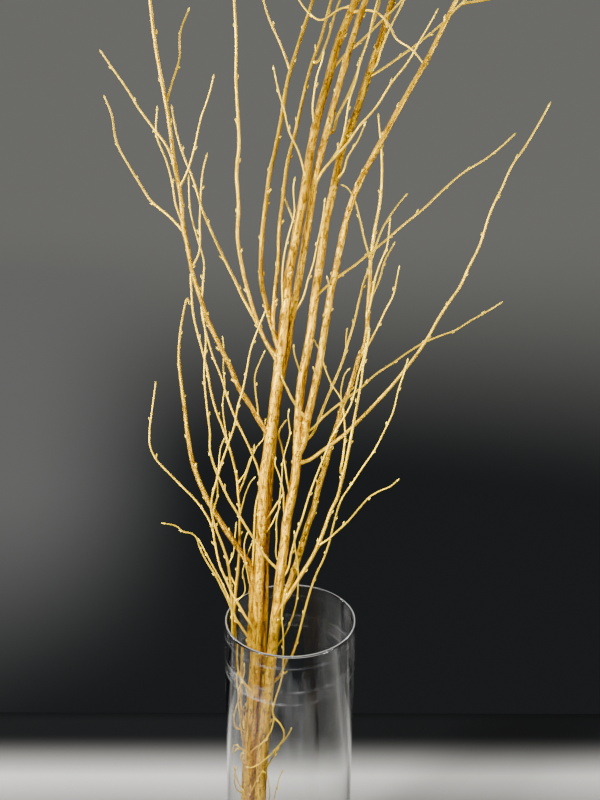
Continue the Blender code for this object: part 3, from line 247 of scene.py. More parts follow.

# The table, whose far part darkens with Y into painted shade and whose part in front of the vase is
# dimmer with painted shade, which leaves a painted highlight band behind the vase
FLOOR_LOW = Vector((-0.85, -0.27, -0.30))
FLOOR_HIGH = Vector((0.85, 0.400, -0.0004))
FLOOR_EDGE = 0.05
TABLE_PALE = (0.40, 0.390, 0.368)
TABLE_SHADE_COLOUR = (0.004, 0.0043, 0.0046)
TABLE_FAR_SHADE = (0.238, 0.320)
TABLE_FAR_SHADE_FALL = 2.2
TABLE_FRONT_SHADE_ENDS = (0.180, 0.232)
TABLE_FRONT_SHADE = 0.36

# The backdrop, by the direction that is looked in: dark below, grey above, and lighter to the
# left, which fades further down
BACKDROP_RISES = (-0.33, 0.09)
BACKDROP_DARK = (0.0135, 0.0148, 0.0160)
BACKDROP_GREY = (0.150, 0.150, 0.140)
BACKDROP_LEFT = (-0.13, -0.42)
BACKDROP_LEFT_FADES = (-0.62, -0.30)
BACKDROP_LEFT_GREY = (0.134, 0.136, 0.132)

# Soft lamps, as (name, place, aim, size, power)
LIGHTS = (
    ("key light", (-1.7, -1.35, 1.0), (0, 0, 0.45), (0.4, 0.5), 150),
    ("fill light", (1.5, -0.9, 0.5), (0, 0, 0.45), (0.6, 0.7), 40),
    ("side light", (-1.5, 0.6, 1.3), (0, 0, 0.7), (0.4, 0.8), 30),
    ("top light", (0.0, 0.1, 2.6), (0, 0, 0.4), (0.7, 0.7), 28),
    ("low light", (-0.6, -1.0, 0.25), (0, 0, 0.20), (0.6, 0.3), 34),
    ("back light", (0.9, 1.4, 1.9), (0, 0, 0.7), (0.5, 0.5), 24),
)

# The photograph's camera
CAMERA_PLACE = Vector((0.0, -0.5272, 0.7287))
CAMERA_PITCH = math.radians(11.606)
CAMERA_ROLL = math.radians(0.671)
CAMERA_YAW = math.radians(0.737)
CAMERA_LENS = 27.0

# The main stems: name, branch, thickness at the root and at the tip in mm, depth as
# (height, depth) pairs in cm, and the route
MAIN_STEMS = [
    ("tall", "branch_tall", 10.5, 2.0,
     [(1, -0.6), (20, -0.5), (40, -0.35), (60, -0.3), (70, -0.25), (80, 0), (94, 1), (125, 5)],
     [(-4.9, 1.2), (-4.55, 10), (-4.2, 20), (-3.8, 30), (-3.5, 35), (-3.2, 40), (-3.05, 44),
      (-2.85, 48), (-2.68, 52), (-2.53, 55), (-2.22, 57), (-1.83, 60), (-1.5, 63), (-1.25, 65),
      (-0.98, 67), (-0.78, 69), (-0.58, 71), (-0.45, 72.75), (-0.1, 74.75), (0.13, 75.95),
      (0.43, 77.5), (0.95, 80.5), (1.32, 83.15), (1.9, 85.9), (2.6, 88.3), (3.3, 90.9), (4.4, 93.6),
      (5.6, 96.2), (6.6, 98.4), (7.4, 100.6), (8.4, 102.8), (9.5, 105), (10.3, 107.3),
      (11.4, 109.6), (12.2, 112), (13.2, 114.4), (13.9, 117), (15.0, 120)]),
    ("middle", "branch_middle", 8.6, 2.0,
     [(1, 0.5), (20, 0.45), (40, 0.5), (60, 0.5), (70, 0.45), (80, 0.45), (94, -0.7), (117, -4)],
     [(-4.3, 1.2), (-3.95, 10), (-3.6, 20), (-3.15, 30), (-2.85, 35), (-2.6, 40), (-2.5, 44),
      (-2.45, 48), (-2.2, 52), (-2.03, 55), (-1.83, 57), (-1.55, 60), (-1.2, 63), (-0.85, 65),
      (-0.45, 67), (-0.2, 69), (0.0, 70), (0.33, 71.8), (0.5, 72.8), (0.8, 74.8), (1.25, 77.5),
      (1.67, 80.55), (2.27, 83.2), (2.8, 85.2), (3.55, 88.1), (4.1, 90), (4.7, 92), (5.6, 94.6),
      (6.2, 96), (6.9, 98.2), (7.4, 100.4), (8.2, 102.7), (8.8, 105), (9.1, 107.4), (9.7, 109.8),
      (10.1, 112.2), (10.4, 116)]),
    ("forked", "branch_forked", 10.5, 2.0,
     [(1, -1.1), (20, -1.0), (40, -0.9), (48, -0.9), (57, -0.7), (70, 0.3), (80, 1.3), (94, 3),
      (112, 6)],
     [(-3.66, 1.2), (-3.38, 10), (-3.02, 20), (-2.8, 25), (-2.42, 30), (-1.98, 35), (-1.48, 40),
      (-1.3, 42), (-1.12, 44), (-0.92, 46), (-0.65, 48), (-0.48, 50), (-0.17, 52), (0.2, 54),
      (0.42, 56), (0.5, 58), (0.55, 60), (0.65, 62), (0.82, 64), (1.18, 66), (1.5, 68), (1.74, 70),
      (1.97, 72), (2.27, 74), (2.7, 77.5), (3.3, 80.25), (3.9, 83.1), (4.95, 85.9), (5.85, 88.75),
      (6.8, 91.6), (7.6, 94.35), (8.4, 96.6), (9.3, 98.7), (9.9, 101), (10.8, 103.2), (11.8, 105.4),
      (12.4, 107.8), (13.1, 110.2)]),
    ("side", "branch_side", 7.4, 1.5,
     [(1, 0.4), (20, 0.45), (40, 0.65), (50, 1.1), (60, 2.2), (75, 3.2), (87, 2.6)],
     [(-3.3, 1.2), (-3.0, 10), (-2.72, 20), (-2.2, 30), (-1.75, 35), (-1.2, 40), (-0.55, 42.9),
      (-0.05, 44.25), (0.48, 46), (1.0, 47.95), (1.53, 50), (2.04, 51.6), (2.46, 53.7),
      (3.05, 55.85), (3.56, 58.1), (4.17, 60.1), (4.5, 61.5), (5.0, 62.75), (5.5, 64.5),
      (5.87, 65.95), (6.3, 67.0), (6.45, 68), (6.5, 70), (6.58, 72), (6.6, 74.4), (6.85, 76.75),
      (7.2, 79), (7.3, 81.15), (7.2, 83), (6.8, 86.05)]),
    ("left", "branch_left", 8.2, 1.5,
     [(1, 0.5), (20, 0.5), (40, 0.4), (46, 0.5), (60, 2.5), (71, 4.5)],
     [(-5.25, 1.2), (-4.95, 10), (-4.6, 20), (-4.25, 30), (-3.95, 36), (-3.8, 40), (-3.68, 43),
      (-3.72, 45.2), (-4.05, 46.3), (-4.5, 46.95), (-5.4, 48.4), (-6.43, 50.05), (-7.2, 51.4),
      (-8.0, 53.0), (-8.74, 54.95), (-9.15, 56.5), (-9.48, 58.95), (-9.72, 61.75), (-9.9, 63.4),
      (-10.05, 65.55), (-9.92, 67.5), (-9.57, 69.5), (-9.13, 70.9), (-9.0, 70.4)]),
]

# The twigs: name, parent, thickness at the root and at the tip in mm, lean in cm, the route,
# and for some a bow as (share of the length, depth gained in cm)
TWIGS = [
    # On the tall branch
    ("left stem", "tall", 4.6, 1.7, -3.5,
     [(-2.3, 58.7), (-2.83, 59.85), (-3.75, 61.45), (-4.68, 62.9), (-5.55, 65), (-6.5, 67),
      (-7.4, 69), (-8.05, 71), (-8.7, 73.2), (-9.0, 75.05), (-9.35, 77), (-9.5, 79.3),
      (-9.94, 81.95), (-10.3, 85.3), (-10.7, 87.8), (-11.1, 90.2), (-11.5, 94.1), (-11.8, 98.8),
      (-12.2, 101.2), (-12.3, 105), (-12.6, 107.5)]),
    ("inner stem", "tall", 3.9, 1.6, 3.5,
     [(-1.1, 66.3), (-1.6, 67.5), (-1.75, 69.2), (-1.6, 71.4), (-1.3, 74.3), (-1.25, 76.65),
      (-0.95, 79.4), (-0.56, 82.2), (0.05, 84.5), (0.5, 86.5), (1.17, 89.2), (2.05, 91.65),
      (2.8, 94.35), (3.3, 96), (4.1, 100.1), (4.6, 102)]),
    ("back stem", "tall", 4.4, 1.6, 6.5,
     [(-1.05, 66.8), (-1.75, 68.3), (-2.3, 70.2), (-2.75, 72.3), (-2.8, 74.35), (-2.65, 76.6),
      (-2.3, 79.4), (-2.05, 81.3), (-1.6, 83.1), (-1.05, 85.85), (-0.6, 88.45), (0.06, 90.55),
      (0.96, 93.2), (1.33, 94.3), (2.0, 96.5), (2.9, 101.5), (3.9, 106.6), (4.3, 109)]),
    ("upright stem", "tall", 3.6, 1.5, -5.0,
     [(-1.25, 65.7), (-2.35, 67.2), (-3.2, 69.2), (-3.9, 71.5), (-4.24, 72.75), (-4.6, 74.7),
      (-4.78, 76), (-4.66, 78.6), (-4.8, 81.5), (-4.6, 83.2), (-4.65, 85.45), (-4.8, 88.7),
      (-4.74, 90.75), (-4.87, 94.15), (-5.1, 98.6), (-5.0, 100.8), (-5.3, 104)]),
    ("slanting twig", "tall", 3.2, 1.4, 2.5,
     [(-1.3, 65.3), (-2.3, 67.0), (-3.2, 68.9), (-4.3, 70.9), (-5.0, 72.4), (-5.6, 73.6),
      (-6.6, 75.65), (-7.65, 78.1), (-8.48, 80.85), (-9.06, 82.25), (-9.7, 84.3), (-9.95, 85.65),
      (-10.05, 86.45)]),
    ("left fork", "left stem", 2.3, 1.4, 3.0,
     [(-9.95, 81.4), (-10.55, 83.3), (-11.35, 84.35), (-12.69, 86.1), (-13.62, 87.6),
      (-14.67, 89.05), (-15.65, 90.45)]),
    ("left lower fork", "left stem", 2.4, 1.4, 4.5,
     [(-9.3, 76.4), (-10.55, 77.75), (-12, 78.95), (-12.9, 80.35), (-13.66, 81.6), (-14.63, 83.5),
      (-14.97, 85.75), (-15.5, 87.1)]),
    ("left short fork", "left stem", 1.9, 1.3, -2.0,
     [(-9.35, 77), (-9.95, 78.7), (-10.2, 80.5), (-10.6, 82.1), (-11.35, 84.1), (-11.2, 86.35)]),
    ("left inner fork", "left stem", 2.0, 1.3, -2.5,
     [(-9.6, 80), (-9.0, 81.1), (-8.25, 83.25), (-7.7, 85.4), (-6.9, 87.5), (-6.55, 88.8)]),
    ("left upper fork", "left stem", 1.9, 1.3, 2.0,
     [(-10.5, 86.5), (-10.0, 87.95), (-9.3, 89.95), (-9.2, 91.7), (-8.4, 93.6)]),
    ("back fork", "back stem", 1.9, 1.2, 2.0,
     [(-0.45, 89.1), (-1.15, 90.9), (-2.17, 93), (-3.0, 96), (-3.7, 99.8)]),
    ("inner fork", "inner stem", 2.0, 1.3, 2.0,
     [(1.5, 89.75), (2.3, 90.85), (2.65, 91.75), (3.1, 93.35), (4.0, 95.6), (4.8, 98.4)]),
    ("crossing twig", "tall", 1.9, 1.3, -3.0,
     [(0.8, 80.8), (0.22, 83.2), (-0.36, 84.25), (-0.98, 86.45), (-1.3, 87.4), (-1.8, 89.5)]),
    ("close twig", "tall", 1.8, 1.3, -2.0,
     [(-0.75, 69.2), (-0.95, 71), (-0.8, 74.75), (-0.4, 76.5), (0, 77.9), (-0.05, 80.5),
      (0.07, 81.05)]),
    ("short twig", "tall", 1.7, 1.4, 1.5,
     [(0.3, 76.8), (-0.35, 78.2), (-0.75, 79.2), (-1.0, 80)]),
    ("low front twig", "tall", 1.7, 1.2, -1.0,
     [(-4.15, 20.2), (-3.6, 21.4), (-3.0, 22.7), (-2.6, 23.2), (-2.35, 23.0)]),
    ("parallel twig", "tall", 1.8, 1.3, -1.5,
     [(1.65, 84.8), (1.43, 86.2), (1.55, 87.6), (1.8, 88.95), (2.1, 89.8), (2.3, 90.8)]),
    ("drooping twig", "tall", 2.0, 1.3, -3.0,
     [(4.4, 93.4), (5.71, 93.6), (6.46, 93.43), (7.08, 92.94), (7.59, 92.3), (7.93, 91.69),
      (9.25, 90.87), (10.5, 89.6)]),
    ("curled twig", "tall", 1.8, 1.2, 2.5,
     [(4.5, 93.9), (3.6, 93.7), (1.8, 92.85), (1.2, 93.2), (0.27, 94.2), (-0.3, 95.4),
      (-0.7, 98.4)]),
    ("right leaning twig", "tall", 2.1, 1.3, 3.5,
     [(2.85, 89.0), (3.9, 90.3), (5.0, 91.2), (6.8, 92.85), (8.2, 94.2), (9.2, 95.6), (11, 98.4)]),
    ("hanging loop twig", "left stem", 1.6, 1.2, -2.0,
     [(-3.05, 60.3), (-3.12, 61.2), (-3.28, 62.5), (-3.32, 64.35), (-2.86, 65.55), (-2.43, 66.5)]),
    # On the middle branch
    ("long twig", "middle", 2.6, 1.4, -4.5,
     [(1.3, 79.7), (1.9, 80.75), (2.61, 81.83), (3.5, 82.78), (4.23, 83.57), (5.35, 85.1),
      (6.5, 86.35), (7.84, 88.4), (9.05, 89.9), (10.05, 91.65), (10.93, 93.15), (11.3, 93.85)]),
    ("right twig", "middle", 2.0, 1.3, -3.0,
     [(0.1, 69.65), (0.38, 70.25), (0.75, 70.9), (1.27, 72.65), (1.75, 74.25), (2.0, 75.6),
      (2.4, 77.6), (2.6, 79.4)]),
    ("right fork twig", "middle", 2.4, 1.3, 3.0,
     [(3.0, 84.5), (3.46, 85.7), (4.27, 87.3), (4.93, 88.9), (5.27, 90.05), (5.9, 91.9), (6.55, 94),
      (7.0, 97.4), (7.5, 100.4)]),
    ("thin inner twig", "middle", 2.1, 1.3, -2.0,
     [(2.0, 80.9), (2.9, 82.2), (3.7, 83.4), (4.1, 84.85), (4.25, 85.9), (4.42, 87), (4.91, 88.52),
      (5.26, 90.0), (5.74, 91.33), (6.05, 92.78), (6.4, 94.2), (6.7, 95.2)]),
    # On the forked branch
    ("right stem", "forked", 7.2, 2.0, -6.0,
     [(0.48, 57.0), (1.0, 58.2), (1.28, 60), (1.72, 62), (2.13, 64), (2.45, 66), (2.72, 68),
      (3.0, 70), (3.3, 72), (3.5, 72.9), (4.0, 75.6), (4.6, 78.3), (5.5, 80.8), (6.83, 83.3),
      (8.0, 85.5), (9.4, 88), (10.8, 90.5), (12.0, 93.05), (12.7, 94.45), (13.9, 96.4),
      (15.2, 98.5), (16.1, 100.8), (17.3, 102.9), (18.4, 105.2), (19.5, 108)]),
    ("outer stem", "forked", 3.4, 1.5, -3.5,
     [(0.5, 56.1), (1.56, 56.45), (2.6, 57.2), (3.78, 58.1), (4.97, 59.1), (6.07, 60.25),
      (7.48, 61.8), (8.7, 63.2), (9.98, 64.9), (11.15, 66.55), (12.08, 68.15), (12.7, 69.4),
      (13.68, 71.05), (14.37, 72.1), (15.1, 73.9), (15.75, 75.35), (16.7, 78.7), (17.45, 80.45),
      (18.05, 82), (19.1, 83.65), (19.84, 85), (20.9, 87.1)]),
    ("outer twig", "right stem", 2.2, 1.4, 2.5,
     [(1.25, 59.0), (1.85, 59.45), (2.77, 60.45), (3.95, 61.5), (5.05, 62.35), (6.13, 63.2),
      (7.35, 64.4), (8.87, 65.45), (10.2, 66.45), (11.57, 67.3), (13.3, 68.05), (14.0, 68.3),
      (15.58, 69.3), (17.2, 70.25), (18.25, 70.95)]),
    ("long right twig", "forked", 2.4, 1.4, 5.0,
     [(2.0, 71.2), (2.83, 72.05), (4.05, 73.05), (5.0, 73.7), (6.3, 74.75), (7.9, 76.05),
      (9.25, 77.25), (10.9, 78.6), (12.5, 80.15), (14.05, 81.5), (15.9, 82.65), (17.1, 83.6),
      (18.25, 84.7)]),
    ("fork twig", "forked", 2.0, 1.3, -3.0,
     [(3.45, 80.8), (4.05, 81.45), (4.35, 82.5), (5.25, 84), (5.8, 85.3)]),
    ("level twig", "forked", 2.1, 1.3, 3.5,
     [(5.85, 88.7), (7.0, 89.35), (8.35, 90.25), (10.1, 91.5), (11.65, 92.75), (13.1, 94.2),
      (14.6, 95.3), (16.6, 97.4)]),
    ("steep twig", "forked", 1.9, 1.3, -2.5,
     [(5.95, 88.9), (6.5, 89.65), (6.85, 90.75), (7.55, 92.45), (8.5, 94.35), (9.6, 99.2)]),
    ("cross stem", "forked", 2.5, 1.5, -3.0,
     [(-1.0, 45.4), (-1.97, 46.3), (-2.95, 47.75), (-4.02, 49.5), (-5.07, 51.3), (-5.75, 52.45),
      (-6.56, 54.3), (-7.06, 55.6), (-7.46, 57.15), (-7.45, 59.05), (-7.63, 60.8), (-7.8, 62.9),
      (-7.85, 64.6), (-7.75, 66), (-7.65, 67.3), (-7.8, 69), (-8.0, 70.3)]),
    ("left arc twig", "forked", 2.3, 1.4, 1.8,
     [(0.05, 52.6), (-0.38, 54.3), (-0.72, 56.57), (-1.0, 57.93), (-1.22, 58.75), (-1.15, 59.2),
      (-0.85, 59.75), (-0.5, 60.25)]),
    ("thin upright twig", "forked", 1.5, 1.2, -1.6,
     [(-1.0, 45.9), (-1.36, 46.8), (-1.37, 48.7), (-1.36, 50.77), (-1.2, 51.6), (-1.04, 53.35),
      (-0.92, 54.43), (-0.84, 56.05), (-0.67, 57.03), (-0.35, 58.17), (-0.2, 58.8), (-0.27, 59.75),
      (-0.37, 60.55), (-0.27, 61.25)]),
    ("hooked twig", "forked", 1.7, 1.2, -1.5,
     [(0.8, 64.2), (0.45, 65.2), (0.1, 66.45), (0.07, 67.05)]),
    ("spur", "right stem", 1.7, 1.3, -0.8,
     [(2.15, 64.1), (1.78, 65.1)]),
    ("spur above", "right stem", 1.7, 1.3, -0.8,
     [(3.25, 71.6), (2.85, 73.0)]),
    ("narrow stem", "forked", 2.3, 1.4, -2.4,
     [(-1.05, 44.3), (-0.35, 45.4), (0.02, 47.15), (0.45, 49), (0.98, 50.65), (1.6, 52.9),
      (2.28, 54.95), (2.95, 56.75), (3.6, 58.6), (4.5, 60.2), (5.15, 61.4), (5.63, 63.1),
      (5.85, 64.4), (6.2, 65.7), (6.45, 67.3)]),
    ("inner crossing stem", "right stem", 2.6, 1.4, 5.5,
     [(1.1, 57.9), (1.85, 58.9), (2.53, 60.6), (3.17, 62.35), (3.75, 63.8), (4.42, 65.6),
      (4.87, 67.3), (5.33, 68.97), (5.7, 70.8), (6.08, 72.5), (6.5, 73.8), (6.95, 75.3),
      (7.4, 76.7), (8.2, 78.15), (9.05, 79.3), (9.55, 79.85)]),
    ("rising cross twig", "right stem", 3.0, 1.8, -1.3,
     [(1.22, 60.3), (0.87, 60.8), (0.43, 61.4), (-0.08, 62.2), (-0.5, 63.1), (-0.86, 63.8),
      (-1.0, 64.3)]),
    ("low cross twig", "forked", 1.8, 1.2, -1.2,
     [(-0.45, 50.4), (-0.68, 51.3), (-0.73, 52.2), (-0.75, 53.1), (-0.95, 54.25), (-1.25, 55.2),
      (-1.55, 56.05), (-1.46, 56.75)]),
    ("inner crossing spur", "inner crossing stem", 1.8, 1.5, 1.5,
     [(4.6, 66.7), (4.68, 67.7), (4.75, 68.55)]),
    # Low and to the right
    ("front stem", "forked", 3.9, 1.8, 1.5,
     [(-1.5, 40.6), (-1.1, 41.35), (-0.65, 42.1), (-0.13, 43.0), (0.87, 44.8), (1.78, 46.4),
      (2.5, 47.95), (3.1, 49.7), (3.7, 51.6), (4.27, 52.9), (4.58, 54.35), (4.9, 55.85),
      (5.2, 57.65), (5.48, 59.45), (5.8, 61.65), (6.13, 63.8), (6.25, 65.2), (6.55, 66.9),
      (6.7, 68.6)],
     [(0, 0), (0.02, -0.6), (0.06, -0.7), (0.3, -0.9), (1, -1.5)]),
    ("thin right stem", "side", 2.4, 1.4, -3.5,
     [(-1.95, 32.8), (-1.27, 33.2), (-0.86, 33.9), (-0.27, 35.3), (0.22, 36.5), (0.9, 39.05),
      (1.37, 41.25), (1.88, 43.35), (2.4, 45.05), (3.1, 46.7), (3.62, 48.45), (3.98, 50.2),
      (4.65, 52.65), (5.63, 54.3), (6.53, 55.8), (7.52, 57.4), (8.33, 59.15), (9.08, 61),
      (9.5, 63.1), (9.95, 64.7), (10.22, 65.95)]),
    ("arched twig", "front stem", 2.0, 1.3, -4.0,
     [(2.55, 48.0), (3.45, 48.65), (4.33, 49.5), (5.28, 50.45), (6.33, 51.8), (7.35, 53.0),
      (8.37, 53.6), (8.98, 53.85), (9.95, 54.7)]),
    ("inner right twig", "front stem", 2.3, 1.3, 2.0,
     [(4.6, 55.2), (4.68, 56.75), (4.82, 58.55), (4.7, 60.35), (4.4, 62.1), (3.5, 63.5),
      (2.95, 64.75), (2.27, 66.7), (1.73, 67.6)]),
    ("small hooked twig", "inner right twig", 1.5, 1.2, -1.5,
     [(4.55, 61.4), (4.33, 62.8), (4.45, 63.7), (4.63, 64.4), (5.1, 65)]),
    ("bowed twig", "side", 2.2, 1.4, -2.5,
     [(5.9, 66.0), (6.65, 67.1), (7.33, 68.45), (8.0, 70), (8.65, 71.35), (8.95, 73),
      (9.1, 73.95)]),
    ("near twig", "side", 2.2, 1.4, -2.0,
     [(6.5, 69.6), (6.77, 71.0), (7.02, 72.65), (7.5, 74.25), (7.9, 75.25), (8.1, 77.15),
      (8.15, 77.9)]),
    ("near fork", "near twig", 1.8, 1.4, 1.5,
     [(6.85, 71.3), (7.4, 72.65), (7.8, 74.25), (8.65, 75.9)]),
    ("curved twig", "side", 1.9, 1.3, -2.5,
     [(6.6, 74.3), (6.05, 75.9), (5.5, 77.9), (4.97, 79.45), (4.3, 80.3), (3.87, 80.45)]),
    ("spare twig", "side", 1.7, 1.3, -3.0,
     [(-1.5, 37.0), (-0.48, 38.75), (0.07, 40.2), (0.43, 41.5), (0.65, 42.85), (0.7, 44.05),
      (0.67, 46), (0.37, 47.9), (0.3, 49.5)]),
    ("wall fork", "thin right stem", 1.6, 1.2, -1.2,
     [(-1.0, 33.6), (-0.57, 33.75), (-0.27, 34.1)]),
    ("straight twig", "side", 1.8, 1.3, -1.8,
     [(-2.5, 22.9), (-2.15, 23.95), (-1.55, 25.1), (-1.05, 26.1), (-0.55, 26.7), (-0.1, 27.4),
      (0.25, 28.15)]),
    ("faint twig", "side", 1.3, 1.0, 1.6,
     [(-2.75, 17.2), (-2.0, 18.6), (-1.5, 20.1), (-1.4, 20.65), (-1.15, 21.65), (-0.9, 22.75),
      (-0.55, 23.45)]),
    ("second faint twig", "side", 1.3, 1.0, 1.2,
     [(-2.73, 18.2), (-2.2, 19.4), (-1.95, 20.4), (-2.05, 21.3), (-2.2, 22.4), (-2.4, 23.4)]),
    # Low and to the left
    ("wall stem", "left", 3.4, 1.5, 0.3,
     [(-4.5, 22.4), (-4.45, 24.5), (-4.45, 26.4), (-4.65, 28.0), (-4.88, 29.0), (-5.08, 29.9),
      (-5.22, 30.85), (-5.27, 32), (-5.35, 34), (-5.38, 38), (-5.4, 41.0), (-5.3, 43),
      (-5.05, 45.3), (-4.88, 47.5), (-4.83, 50), (-4.8, 51.5), (-4.92, 53.0), (-5.07, 54.85),
      (-5.35, 56.2), (-5.77, 57.8), (-6.3, 59.5), (-6.85, 61), (-7.27, 62.75), (-7.6, 64.8),
      (-7.95, 66.3), (-8.35, 67.9), (-8.65, 69.3), (-8.8, 71.5), (-8.75, 73.3), (-8.1, 74.7),
      (-7.95, 77.4), (-7.8, 79.7), (-7.6, 81.4), (-7.2, 82.8)]),
    ("far left twig", "tall", 2.5, 1.4, 4.0,
     [(-3.3, 38.2), (-3.4, 38.95), (-3.67, 39.43), (-4.07, 40.12), (-4.48, 40.81), (-4.86, 41.57),
      (-5.2, 42.25), (-5.6, 42.95), (-6.15, 44.4), (-6.7, 45.8), (-7.15, 48.05), (-7.42, 49.8),
      (-7.92, 51.0), (-8.83, 52.4), (-9.97, 53.65), (-11.33, 55.15), (-12.4, 56.4), (-12.9, 57.7),
      (-12.9, 58.95), (-12.58, 61.05), (-12.15, 63.6)],
     [(0, 0), (0.04, -0.7), (0.1, -0.8), (0.2, -0.7), (0.3, -0.3), (1, 4.4)]),
    ("crooked twig", "tall", 2.6, 1.2, -3.0,
     [(-3.5, 37.3), (-3.94, 38.06), (-4.21, 38.6), (-4.59, 39.2), (-4.93, 39.78), (-5.17, 40.12),
      (-5.37, 40.58), (-5.6, 41.1), (-5.85, 41.8), (-6.15, 42.65), (-6.5, 43.4), (-7.15, 44.85),
      (-7.93, 46.2), (-8.62, 47.75), (-9.05, 48.95), (-9.4, 49.2), (-10.03, 49.3), (-10.78, 49.9),
      (-12.15, 50.2)],
     [(0, 0), (0.08, -0.5), (0.3, -0.7), (1, -3.2)]),
    ("rising wall twig", "tall", 2.4, 1.2, -1.8,
     [(-3.6, 31.2), (-3.85, 32.0), (-4.35, 32.45), (-4.95, 33.2), (-5.42, 34.1), (-5.65, 35.2),
      (-5.72, 36.6), (-5.68, 38.5), (-5.64, 40.2), (-5.68, 41.2), (-5.82, 42.2), (-6.15, 43.1),
      (-6.88, 44.85), (-7.58, 46.2), (-8.25, 47.65), (-8.75, 48.7)],
     [(0, 0), (0.1, -0.8), (0.35, -1.0), (0.55, -0.9), (1, -1.6)]),
    ("leaning stem", "wall stem", 2.6, 1.5, -1.6,
     [(-5.38, 37.0), (-5.62, 40.6), (-5.72, 43.3), (-5.85, 45.05), (-6.1, 46.7), (-6.63, 48.45),
      (-7.1, 49.8), (-7.45, 51.5), (-7.37, 52.75), (-6.92, 54.4), (-6.4, 56.2), (-5.87, 57.7),
      (-5.15, 59.95), (-4.9, 61.4), (-4.44, 62.95), (-4.08, 64.7), (-3.73, 66.5), (-3.2, 68),
      (-2.35, 70.1)]),
    ("middle left stem", "left", 2.6, 1.4, -2.8,
     [(-3.7, 45.0), (-3.55, 47.3), (-3.45, 49.8), (-3.3, 52.0), (-2.9, 54.3), (-3.06, 55.4),
      (-3.62, 56.95), (-4.3, 58.5), (-4.98, 59.95), (-5.82, 62.2), (-6.33, 64.0), (-7.08, 66),
      (-7.63, 68.1), (-7.93, 69.5), (-7.83, 71.8), (-7.7, 74.2), (-8.1, 75.65), (-8.7, 78.05),
      (-8.8, 81.05)]),
    ("forward twig", "wall stem", 1.9, 1.2, 1.6,
     [(-4.9, 53.2), (-4.5, 54.1), (-4.22, 54.95), (-3.93, 55.85), (-3.65, 56.7), (-3.45, 57.3),
      (-3.43, 57.9)]),
    ("thin forward twig", "wall stem", 1.5, 1.1, -2.0,
     [(-5.0, 54.0), (-4.78, 54.4), (-4.33, 55.05), (-3.8, 56.5), (-3.45, 57.15), (-3.1, 57.8),
      (-2.63, 58.35), (-2.5, 59.5), (-2.38, 60.35)]),
    ("arched forward twig", "wall stem", 1.5, 1.1, -1.4,
     [(-4.8, 51.0), (-4.55, 52.05), (-4.33, 52.9), (-4.07, 53.65), (-3.77, 54.3), (-3.33, 54.8)]),
    ("upright inner twig", "left", 1.5, 1.1, -1.6,
     [(-3.75, 43.3), (-3.97, 44.2), (-4.1, 45), (-4.27, 46), (-4.37, 47.0), (-4.43, 47.75),
      (-4.35, 48.5), (-4.05, 49.4)]),
    ("wandering twig", "wall stem", 1.4, 1.1, -1.3,
     [(-5.3, 42.3), (-4.68, 42.7), (-4.4, 43.2), (-4.45, 44.4), (-4.6, 45.2), (-4.42, 46),
      (-4.2, 46.8), (-3.92, 47.65), (-3.65, 48.3)]),
    ("wall twig", "left", 1.9, 1.3, -1.0,
     [(-4.35, 27.6), (-4.9, 28.0), (-5.4, 28.2), (-5.66, 28.8), (-5.64, 29.9), (-5.5, 30.5),
      (-5.35, 31.2), (-5.33, 31.7), (-5.5, 32.45), (-5.66, 33.2), (-5.72, 34.1)],
     [(0, 0), (0.2, -1.3), (0.6, -1.5), (1, -1.0)]),
    ("tangled twig", "left", 1.6, 1.2, -1.2,
     [(-4.25, 29.6), (-4.7, 30.0), (-5.0, 30.6), (-5.03, 31.2), (-5.2, 31.8), (-5.3, 32.4),
      (-5.15, 32.75), (-4.9, 33.4), (-4.72, 34.1), (-4.75, 35.2)],
     [(0, 0), (0.2, -1.2), (0.6, -1.6), (1, -1.4)]),
    ("low tangled twig", "left", 1.8, 1.2, -1.0,
     [(-4.4, 25.4), (-4.7, 26.6), (-4.97, 28.2), (-5.14, 29.5), (-5.36, 30.6), (-5.45, 31.6)],
     [(0, 0), (0.25, -1.3), (0.6, -2.0), (1, -2.2)]),
    ("knotted twig", "left", 1.7, 1.2, -1.0,
     [(-4.35, 26.6), (-4.55, 27.6), (-4.75, 28.7), (-4.62, 29.5), (-4.35, 30.1), (-4.5, 31.2),
      (-4.85, 32.1)],
     [(0, 0), (0.25, -1.0), (1, -1.3)]),
    ("pale twig", "wall stem", 1.5, 1.2, -1.6,
     [(-5.85, 58.1), (-6.09, 59.75), (-6.25, 61.5), (-6.03, 63.35), (-6.14, 64.7), (-6.1, 66.8),
      (-6.18, 67.7)]),
    ("bridge twig", "leaning stem", 1.4, 1.2, 1.2,
     [(-6.75, 55.0), (-6.67, 56.1), (-6.45, 57.7), (-6.05, 58.6)]),
    ("paired twig", "far left twig", 1.6, 1.2, -1.5,
     [(-7.4, 49.7), (-7.22, 51.6), (-6.87, 52.85), (-6.87, 54.4), (-6.9, 55.6)]),
    ("rising loop", "wall stem", 1.6, 1.2, 1.6,
     [(-5.2, 43.7), (-5.93, 45.9), (-5.48, 47.05), (-5.3, 48.7), (-5.12, 50.4)]),
    # The small looping twigs low in the vase, in front of the stems
    ("loop twig", "tall", 2.0, 1.3, -1.6,
     [(-4.0, 25.3), (-3.75, 25.7), (-3.3, 26.05), (-2.95, 26.3), (-2.45, 26.8), (-2.0, 27.55),
      (-1.68, 28.5), (-1.6, 29.3), (-1.72, 30.0), (-1.6, 30.7), (-1.4, 31.5), (-1.15, 32.3),
      (-0.95, 33.0), (-0.72, 34.2), (-0.7, 35.15), (-0.66, 37), (-0.7, 39), (-0.85, 40.6),
      (-0.75, 42.0), (-0.45, 43.6)],
     [(0, 0), (0.03, -1.4), (0.08, -1.7), (0.2, -1.5), (0.45, -1.3), (1, -1.6)]),
    ("bulging loop", "loop twig", 1.9, 1.4, 0.3,
     [(-1.6, 29.3), (-1.3, 28.95), (-0.93, 28.55), (-0.57, 27.75), (-0.57, 27.05), (-0.93, 26.3),
